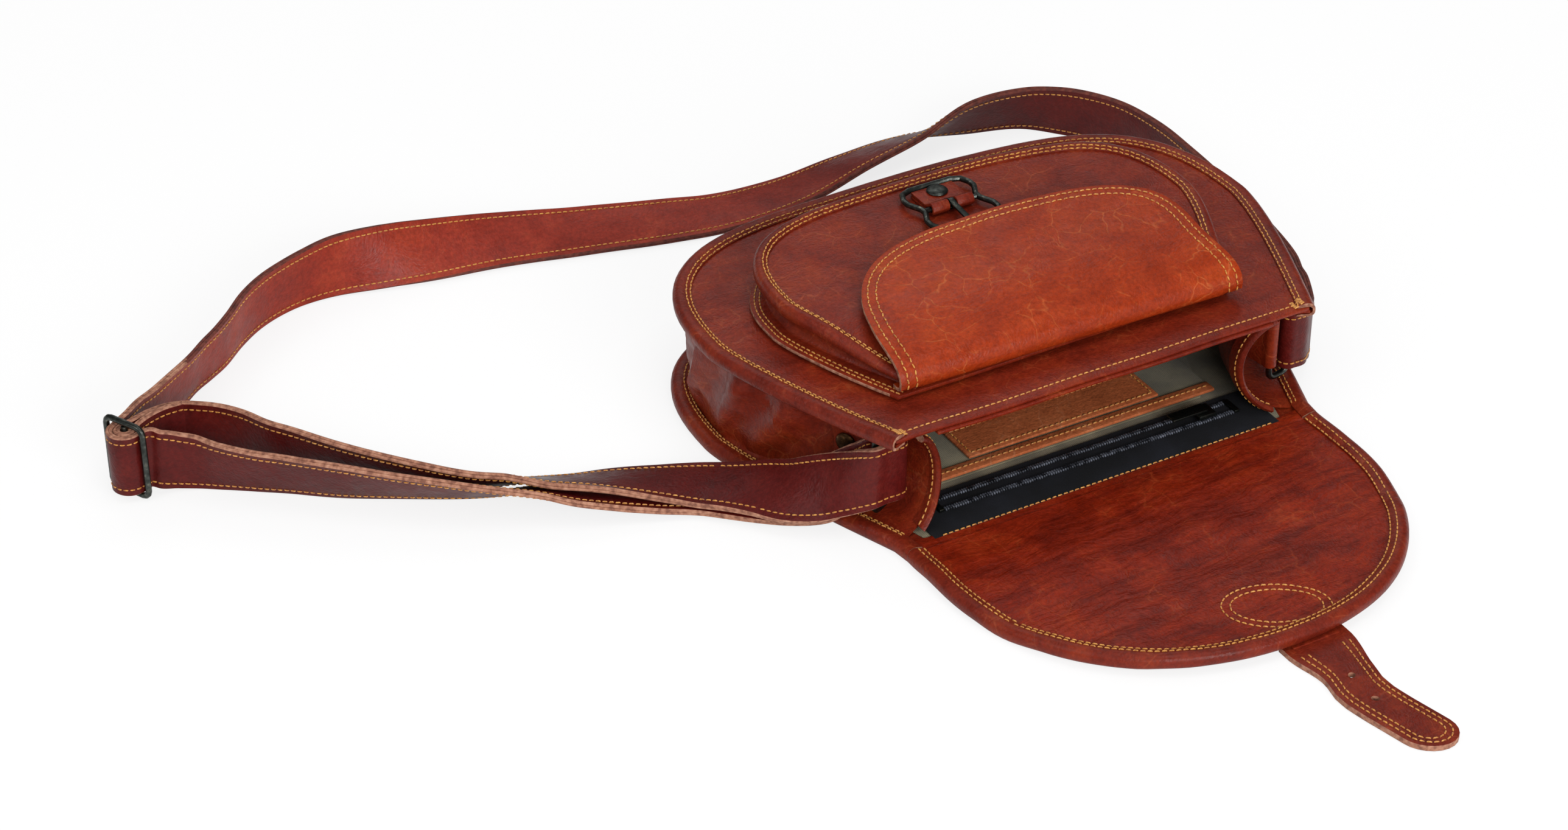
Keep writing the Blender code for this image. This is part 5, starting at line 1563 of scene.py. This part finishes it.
# Shoulder strap
# Shares of the strap's span and of the bag's length, the strip's turn, and its lift in thicknesses
right_side_shares = (
    (0.3725, 0.2537, 270, 0.69),
    (0.3835, 0.3054, 270, 0.19),
    (0.3969, 0.3645, 270, 0.00),
    (0.4079, 0.4532, 270, 0.00),
    (0.4177, 0.5665, 270, 0.00),
    (0.4287, 0.7389, 270, 0.00),
    (0.4360, 0.9113, 269, 0.00),
    (0.4384, 1.0591, 268, 0.00),
    (0.4299, 1.1970, 265, 0.00),
    (0.4091, 1.2906, 261, 0.00),
    (0.3810, 1.3621, 257, 0.00),
    (0.3444, 1.4212, 249, 0.00),
    (0.2743, 1.4557, 240, 0.00),
    (0.1961, 1.4778, 210, 0.00),
    (0.1001, 1.4655, 197, 0.00),
    (0.0000, 1.4399, 184, 0.00),
    (-0.1038, 1.4360, 175, 0.00),
    (-0.1720, 1.4567, 169, 0.00),
)
left_side_shares = (
    (-0.2936, 1.5148, 162, 0.00),
    (-0.3925, 1.5581, 152, 0.00),
    (-0.4768, 1.5704, 135, 0.00),
    (-0.5398, 1.5803, 116, 0.00),
    (-0.5984, 1.5901, 99, 0.00),
    (-0.6400, 1.5813, 88, 0.00),
    (-0.6729, 1.5616, 84, 0.00),
    (-0.7098, 1.5271, 82.5, 0.00),
    (-0.7455, 1.4754, 82, 0.00),
    (-0.7797, 1.4079, 80, 0.00),
    (-0.8036, 1.3695, 77, 0.00),
    (-0.8276, 1.3360, 75, 0.00),
    (-0.8512, 1.2956, 75, 0.00),
    (-0.8842, 1.2438, 77, 0.00),
    (-0.9172, 1.1872, 80, 0.24),
    (-0.9399, 1.1478, 84, 0.60),
    (-0.9592, 1.1050, 88, 0.92),
)
front_layer_shares = (
    (-0.9500, 1.0130, 90, 1.06),
    (-0.9394, 0.9980, 91, 0.80),
    (-0.9228, 0.9833, 95, 0.41),
    (-0.9013, 0.9606, 99, 0.00),
    (-0.8793, 0.9187, 107, 0.00),
    (-0.8488, 0.8645, 113, 0.00),
    (-0.8256, 0.8281, 115, 0.00),
    (-0.7792, 0.7493, 119, 0.00),
    (-0.7306, 0.6793, 126.5, 0.00),
    (-0.6715, 0.6000, 134.5, 0.00),
    (-0.6299, 0.5547, 142, 0.00),
    (-0.5750, 0.5103, 154, 0.00),
    (-0.5401, 0.4709, 161, 0.00),
    (-0.5017, 0.4409, 168, 0.00),
    (-0.4624, 0.4099, 174, 0.05),
    (-0.4196, 0.3695, 182, 0.55),
    (-0.3896, 0.3143, 190, 0.50),
    (-0.3664, 0.2640, 199, 0.58),
    (-0.3428, 0.2175, 213, 0.50),
    (-0.3117, 0.1586, 233, 1.17),
    (-0.2926, 0.1212, 255, 3.30),
    (-0.2802, 0.0931, 268, 5.40),
)
rear_layer_shares = (
    (-0.9377, 1.0857, 90, 0.88),
    (-0.9160, 1.0966, 90, 0.56),
    (-0.8950, 1.0956, 90, 0.19),
    (-0.8796, 1.0837, 90, 0.00),
    (-0.8574, 1.0473, 90, 0.00),
    (-0.8371, 0.9990, 93, 0.00),
    (-0.8185, 0.9360, 98, 0.00),
    (-0.7970, 0.8887, 104, 0.00),
    (-0.7748, 0.8389, 110, 0.00),
    (-0.7535, 0.7911, 114, 0.00),
    (-0.7318, 0.7463, 118, 0.00),
    (-0.6881, 0.6670, 125, 0.00),
    (-0.6424, 0.6049, 134, 0.00),
    (-0.6068, 0.5808, 142, 0.00),
    (-0.5712, 0.5478, 150, 0.00),
    (-0.5335, 0.5044, 156, 0.50),
    (-0.4963, 0.4670, 164, 0.92),
    (-0.4604, 0.4266, 172, 1.35),
    (-0.4201, 0.3719, 182, 1.83),
    (-0.3908, 0.3128, 189, 1.97),
    (-0.3688, 0.2586, 200, 1.95),
    (-0.3504, 0.2010, 214, 1.90),
    (-0.3222, 0.1330, 233, 2.70),
    (-0.3030, 0.0740, 258, 4.30),
    (-0.2885, 0.0430, 269, 5.50),
)
tail_shares = ((-0.9565, 1.0450), (-0.9410, 1.0620), (-0.9195, 1.0752), (-0.8960, 1.0762))
slide_run = Vector((0.45, -0.893, 0.0))
slide_middle = Vector((*slide_left, 0.0)) + slide_run * slide_reach / 2
slide_height = slide_opening / 2 + 2 * slide_wire
raised = slide_height - 2 * gap
ring_mounts = {
    "left": (-1, ring_left_middle, (11.0, -6.1)),
    "right": (1, ring_right_middle, (13.1, 2.4)),
}
slope_start_share = 0.4


def directions(route, index, bar=None):
    """The way along a strap, across it, and square to its face."""
    before = route[max(index - 1, 0)]
    after = route[min(index + 1, len(route) - 1)]
    run = Vector((after[0] - before[0], after[1] - before[1], after[2] - before[2]))
    if bar is not None:
        near = math.dist(route[index][:2], bar[:2])
        run.z *= min(max(near / strap_width - slope_start_share, 0.0), 1.0)
    run.normalize()
    level = Vector((-run.y, run.x, 0.0)).normalized()
    up = run.cross(level)
    angle = math.radians(route[index][3])
    across = level * math.cos(angle) + up * math.sin(angle)
    return run, across, run.cross(across)


def stations_from(table):
    """Places in shares of the strap's span and the bag's length, with the strap's turn and lift."""
    placed = []
    for x_share, y_share, turned, lift_share in table:
        angle = math.radians(turned)
        height = abs(math.sin(angle)) * strap_width / 2 + abs(math.cos(angle)) * strap_thick / 2
        height += lift_share * strap_thick + gap
        placed.append((x_share * strap_span, y_share * body_bottom, height, turned))
    return placed


def round_bar(centre, radius, first, last, height, turned, steps=6):
    """Stations round an upright bar. Angles are in degrees from +X."""
    points = []
    for k in range(steps + 1):
        angle = math.radians(first + (last - first) * k / steps)
        x = centre.x + radius * math.cos(angle)
        points.append((x, centre.y + radius * math.sin(angle), height, turned))
    return points


def ring_bars(name):
    """A ring's inner and outer bar, seen from above."""
    sign, (x, y), run = ring_mounts[name]
    inner = Vector((x, y, ring_height))
    return inner, inner + Vector((sign * run[0], run[1], 0.0)).normalized() * ring_reach


# the strip's section: two thin hides glued back to back, edges rolled, with a line between them
half_width = strap_width / 2
half_thick = strap_thick / 2
roll = 0.5 * MM
line_depth = 0.35 * MM
line_half = 0.16 * MM
seam_place = 3.4 * MM
seam_dip = 0.22 * MM
seam_dip_half = 1.3 * MM
strap_wave = 0.25 * MM
strap_wave_size = 24 * MM
# where the strap's edges take the darker colour, along the upper run
darker_edge_above = 225 * MM
darker_edge_right_of = -350 * MM
quarter = [
    (-half_width + seam_place - seam_dip_half, half_thick),
    (-half_width + seam_place, half_thick - seam_dip),
    (-half_width + seam_place + seam_dip_half, half_thick),
    (0.0, half_thick),
]
top_side = [(-half_width + roll, half_thick)] + quarter
top_side += [(-a, f) for a, f in reversed(quarter[:-1])]
top_side += [(half_width - roll, half_thick)]
right_side = [
    (half_width, half_thick - roll), (half_width, line_half), (half_width - line_depth, 0.0),
    (half_width, -line_half), (half_width, -half_thick + roll),
]
strap_section = top_side + right_side + [(-a, -f) for a, f in top_side]
strap_section += [(-a, -f) for a, f in right_side]


def ribbon(name, route, bar=None):
    """A strip of doubled hide along a route, its raw edges in their own material."""
    count = len(strap_section)
    points = []
    for i, station in enumerate(route):
        _, across, face = directions(route, i, bar)
        spot = Vector(station[:3])
        wave = strap_wave * ripple(spot, strap_wave_size, 9.1)
        points += [spot + across * a + face * (f + wave) for a, f in strap_section]
    faces = grid_faces(len(route), count)
    last = (len(route) - 1) * count
    faces.append(tuple(reversed(range(count))))
    faces.append(tuple(last + k for k in range(count)))
    piece = new_piece(name, points, faces, strap_hide, cut_edge, darker_edge)
    for polygon in piece.data.polygons:
        k = polygon.index % count
        on_edge = len(top_side) - 1 <= k < len(top_side) + len(right_side)
        on_edge = on_edge or k >= 2 * len(top_side) + len(right_side) - 1
        upper = polygon.center.y > darker_edge_above and polygon.center.x > darker_edge_right_of
        if on_edge or len(polygon.vertices) > 4:
            polygon.material_index = 2 if polygon.center.x > 0 or upper else 1
    with opened(piece) as mesh:
        bmesh.ops.recalc_face_normals(mesh, faces=mesh.faces[:])
    return piece


bag_side = 0.6 * body_bottom


def trimmed(piece, place, outward):
    """Cuts a strap square to the bag's side and keeps the side that is outward, or the other."""
    toward = math.copysign(1.0, place) * (1 if outward else -1)
    with opened(piece) as mesh:
        near = [v for v in mesh.verts if v.co.y < bag_side and v.co.x * place > 0]
        chosen = set(near)
        edges = [e for e in mesh.edges if e.verts[0] in chosen and e.verts[1] in chosen]
        faces = [f for f in mesh.faces if all(v in chosen for v in f.verts)]
        sliced(
            mesh, (place, 0.0, 0.0), (toward, 0.0, 0.0), near + edges + faces, clear_inner=True
        )
        border = [e for e in mesh.edges if e.is_boundary]
        for face in bmesh.ops.holes_fill(mesh, edges=border)["faces"]:
            face.material_index = 1


def strap_lines(route, bar, outward):
    """Four seam lines on a strap: near both edges, on both faces."""
    lines = []
    for across_share in (-1, 1):
        for face_share in (-1, 1):
            line = []
            for i, station in enumerate(route):
                _, across, face = directions(route, i, bar)
                spot = Vector(station[:3]) + across * across_share * (half_width - seam_place)
                spot += face * face_share * (half_thick - seam_dip)
                beyond = abs(spot.x) > side_cut or spot.y > bag_side
                if beyond == outward:
                    line.append((spot, face * face_share))
            if len(line) > 2:
                lines.append(line)
    return lines


# distances from the middle, given as the blend of the pieces beside the rings
lift_run = (136 * MM, 159.3 * MM)


def strap_run(node, route, bar=None, side=0):
    """A run of the strap, which swings, or with a side the piece that stays at that ring."""
    name = node + "_hide"
    piece = ribbon(name, route, bar)
    for cut_side in (side,) if side else (-1, 1):
        trimmed(piece, cut_side * side_cut, not side)
    lines = strap_lines(route, bar, not side)
    if side:
        way = ("bag", "strap", *((side * place, 0.0, 0.0) for place in lift_run))
        finish_piece(piece, None, None, (node,))
        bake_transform(piece)
        sewn(name + "_stitches", lines, None, blended=way)
    else:
        finish_piece(piece, None, "strap", (node,))
        sewn(name + "_stitches", lines, "strap")


front_stations = stations_from(front_layer_shares)
rear_stations = stations_from(rear_layer_shares)
lead = stations_from(right_side_shares) + stations_from(left_side_shares)
heading = math.degrees(math.atan2(-slide_run.y, -slide_run.x))
wrap = slide_wire + gap + strap_thick + gap + strap_thick / 2
outer_turn = round_bar(slide_middle, wrap, heading, heading + 180, raised, 90, 8)
strap_run("strap_long", even_curve(lead + outer_turn + front_stations[:-2], 8))
fold = slide_wire + gap + strap_thick / 2
inner_turn = round_bar(slide_middle, fold, 108, 300, raised, 90, 8)
tail = [(x * strap_span, y * body_bottom, raised, 90) for x, y in tail_shares]
back_run = [(x, y, z, 180 - t) for x, y, z, t in reversed(rear_stations[:-2])]
strap_run(
    "strap_return",
    even_curve(back_run, 8)[:-1] + even_curve([back_run[-1]] + inner_turn + tail, 4),
)

inner, outer = ring_bars("left")
height = ring_height + strap_in_ring
bight = Vector((outer.x + 0.82 * ring_reach, outer.y - 0.18 * ring_reach, 0.0))
approach = [
    (outer.x + 0.44 * ring_reach, outer.y + 0.16 * ring_reach, height, 270),
    (outer.x + 0.70 * ring_reach, outer.y + 0.05 * ring_reach, height, 270),
]
leave = [
    (outer.x + 0.66 * ring_reach, outer.y - 0.42 * ring_reach, height, 270),
    (outer.x + 0.28 * ring_reach, outer.y - 0.40 * ring_reach, height, 270),
]
bend_round = round_bar(bight, 0.88 * strap_thick, 60, -60, height, 270, 3)
near_run = leave + [(x, y, z, 540 - t) for x, y, z, t in reversed(rear_stations[-11:])]
loop_route = even_curve(front_stations[-12:] + approach + bend_round + near_run, 8)
strap_run("strap_loop_left", loop_route, outer, -1)

inner, outer = ring_bars("right")
height = ring_height - strap_in_ring / 2
fold = ring_wire + 2 * gap + strap_thick / 2
main = [(x, y, z, -90) for x, y, z, t in reversed(stations_from(right_side_shares[:5]))]
main += [
    (outer.x + 1.95 * ring_reach, outer.y + 1.33 * ring_reach, height - 0.34 * strap_width, -90),
    (outer.x + 1.10 * ring_reach, outer.y + 0.36 * ring_reach, height - 0.14 * strap_width, -90),
    (outer.x + 0.52 * ring_reach, outer.y - 0.21 * ring_reach, height - 0.03 * strap_width, -90),
]
tail = [
    (outer.x + 0.46 * ring_reach, outer.y + 0.46 * ring_reach, height, -90),
    (outer.x + 0.95 * ring_reach, outer.y + 0.88 * ring_reach, height - 0.10 * strap_width, -90),
    (outer.x + 1.55 * ring_reach, outer.y + 1.58 * ring_reach, height - 0.24 * strap_width, -90),
]
end_route = even_curve(main + round_bar(outer, fold, 285, 100, height, -90) + tail, 6)
strap_run("strap_end_right", end_route, outer, 1)


# Zip
# one turn of the coil: a short bar across the tape with rounded, lowered ends
coil_turn = rounded_rod(1, 0.5 * MM, 1.9 * MM, 0.25 * MM, 0.3 * MM, 0.7, 8)
coil_pitch = 1.3 * MM
coil_steps = 40
for side in ("flap", "bag"):
    low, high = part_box("zip_coil_" + side)
    middle = (low.y + high.y) / 2
    level = (low.z + high.z) / 2
    up = Vector((0.0, 0.0, 1.0))
    run = high.x - low.x
    line = [
        (Vector((low.x + run * i / coil_steps, middle, level)), up) for i in range(coil_steps + 1)
    ]
    piece = copies_along("zip_coil_" + side + "_turns", [line], coil_pitch, coil_turn)
    finish_piece(piece, nylon, "bag", ("zip_coil_" + side,))


# Camera, light and floor
camera_data = bpy.data.cameras.new("view")
camera_data.lens = 84.09
camera_data.sensor_width = 36.0
camera = bpy.data.objects.new("view", camera_data)
bpy.context.scene.collection.objects.link(camera)
camera_place = Vector((-0.8213, -1.1441, 0.9831))
look_back = Vector((-0.4095, -0.7195, 0.561)).normalized()
look_up = Vector((0.2776, 0.4877, 0.828))
look_right = look_up.cross(look_back).normalized()
look_up = look_back.cross(look_right)
turn = Matrix((look_right, look_up, look_back)).transposed()
camera.matrix_world = Matrix.Translation(camera_place) @ turn.to_4x4()
bpy.context.scene.camera = camera
bpy.context.scene.view_settings.view_transform = "Standard"


def soft_light(name, place, aim, size, power):
    """A large soft lamp that faces its aim."""
    data = bpy.data.lights.new(name, "AREA")
    data.shape = "RECTANGLE"
    data.size = size[0]
    data.size_y = size[1]
    data.energy = power
    lamp = bpy.data.objects.new(name, data)
    bpy.context.scene.collection.objects.link(lamp)
    lamp.location = place
    lamp.rotation_euler = (Vector(aim) - Vector(place)).to_track_quat("-Z", "Y").to_euler()


soft_light("window_behind", (0.5, 1.9, 1.9), (0.0, 0.0, 0.0), (2.2, 1.2), 12.0)
soft_light("window_left", (-1.9, -0.3, 1.7), (-0.1, 0.0, 0.0), (1.4, 1.4), 16.0)
soft_light("overhead", (0.2, -0.4, 2.4), (0.0, 0.0, 0.0), (1.4, 1.4), 16.0)
soft_light("front_fill", (-0.2, -2.1, 1.0), (0.0, -0.05, 0.02), (1.6, 0.9), 46.0)

world = bpy.data.worlds.new("studio")
bpy.context.scene.world = world
world.use_nodes = True
tree = world.node_tree
seen = add(tree, "ShaderNodeLightPath")
plain = add(tree, "ShaderNodeMath", {"operation": "MAXIMUM"},
            {0: seen.outputs["Is Camera Ray"], 1: seen.outputs["Is Transmission Ray"]}).outputs[0]
strength = add(tree, "ShaderNodeMapRange", {}, {"Value": plain, "To Min": 0.44, "To Max": 1.0})
# gloss sees a dimmer sky than the room's, as with a dark ceiling
gloss = add(tree, "ShaderNodeMapRange", {}, {"Value": seen.outputs["Is Glossy Ray"], "To Min": 1.0,
                                             "To Max": 0.25})
sky_strength = add(tree, "ShaderNodeMath", {"operation": "MULTIPLY"},
                   {0: strength.outputs["Result"], 1: gloss.outputs["Result"]})
sky = tree.nodes["Background"]
sky.inputs["Color"].default_value = (1.0, 1.0, 1.0, 1.0)
tree.links.new(sky_strength.outputs[0], sky.inputs["Strength"])

# plain pale floor: painted board, nearly white, that keeps a soft shadow
floor_material, tree, shader = new_material("painted_board_white")
shader.inputs["Base Color"].default_value = (0.86, 0.86, 0.86, 1.0)
shader.inputs["Roughness"].default_value = 0.9
white = add(tree, "ShaderNodeEmission", {}, {"Color": (1.0, 1.0, 1.0, 1.0), "Strength": 1.0})
seen = add(tree, "ShaderNodeLightPath")
half_seen = add(tree, "ShaderNodeMath", {"operation": "MULTIPLY"},
                {0: seen.outputs["Is Glossy Ray"], 1: 0.45}).outputs[0]
seen = add(tree, "ShaderNodeMath", {"operation": "MAXIMUM"},
           {0: seen.outputs["Is Camera Ray"], 1: half_seen}).outputs[0]
seen = add(tree, "ShaderNodeMath", {"operation": "MULTIPLY"}, {0: seen, 1: 0.8}).outputs[0]
mixed = add(tree, "ShaderNodeMixShader", {}, {0: seen, 1: shader.outputs[0], 2: white.outputs[0]})
tree.links.new(mixed.outputs[0], tree.nodes["Material Output"].inputs["Surface"])
bpy.ops.object.select_all(action="DESELECT")
bpy.ops.mesh.primitive_plane_add(size=9.0, location=(0.0, 0.0, 0.0))
floor = bpy.context.active_object
floor.name = "floor"
floor.data.transform(Matrix.Translation((0.0, 0.0, -0.3 * MM)))
floor.data.materials.append(floor_material)
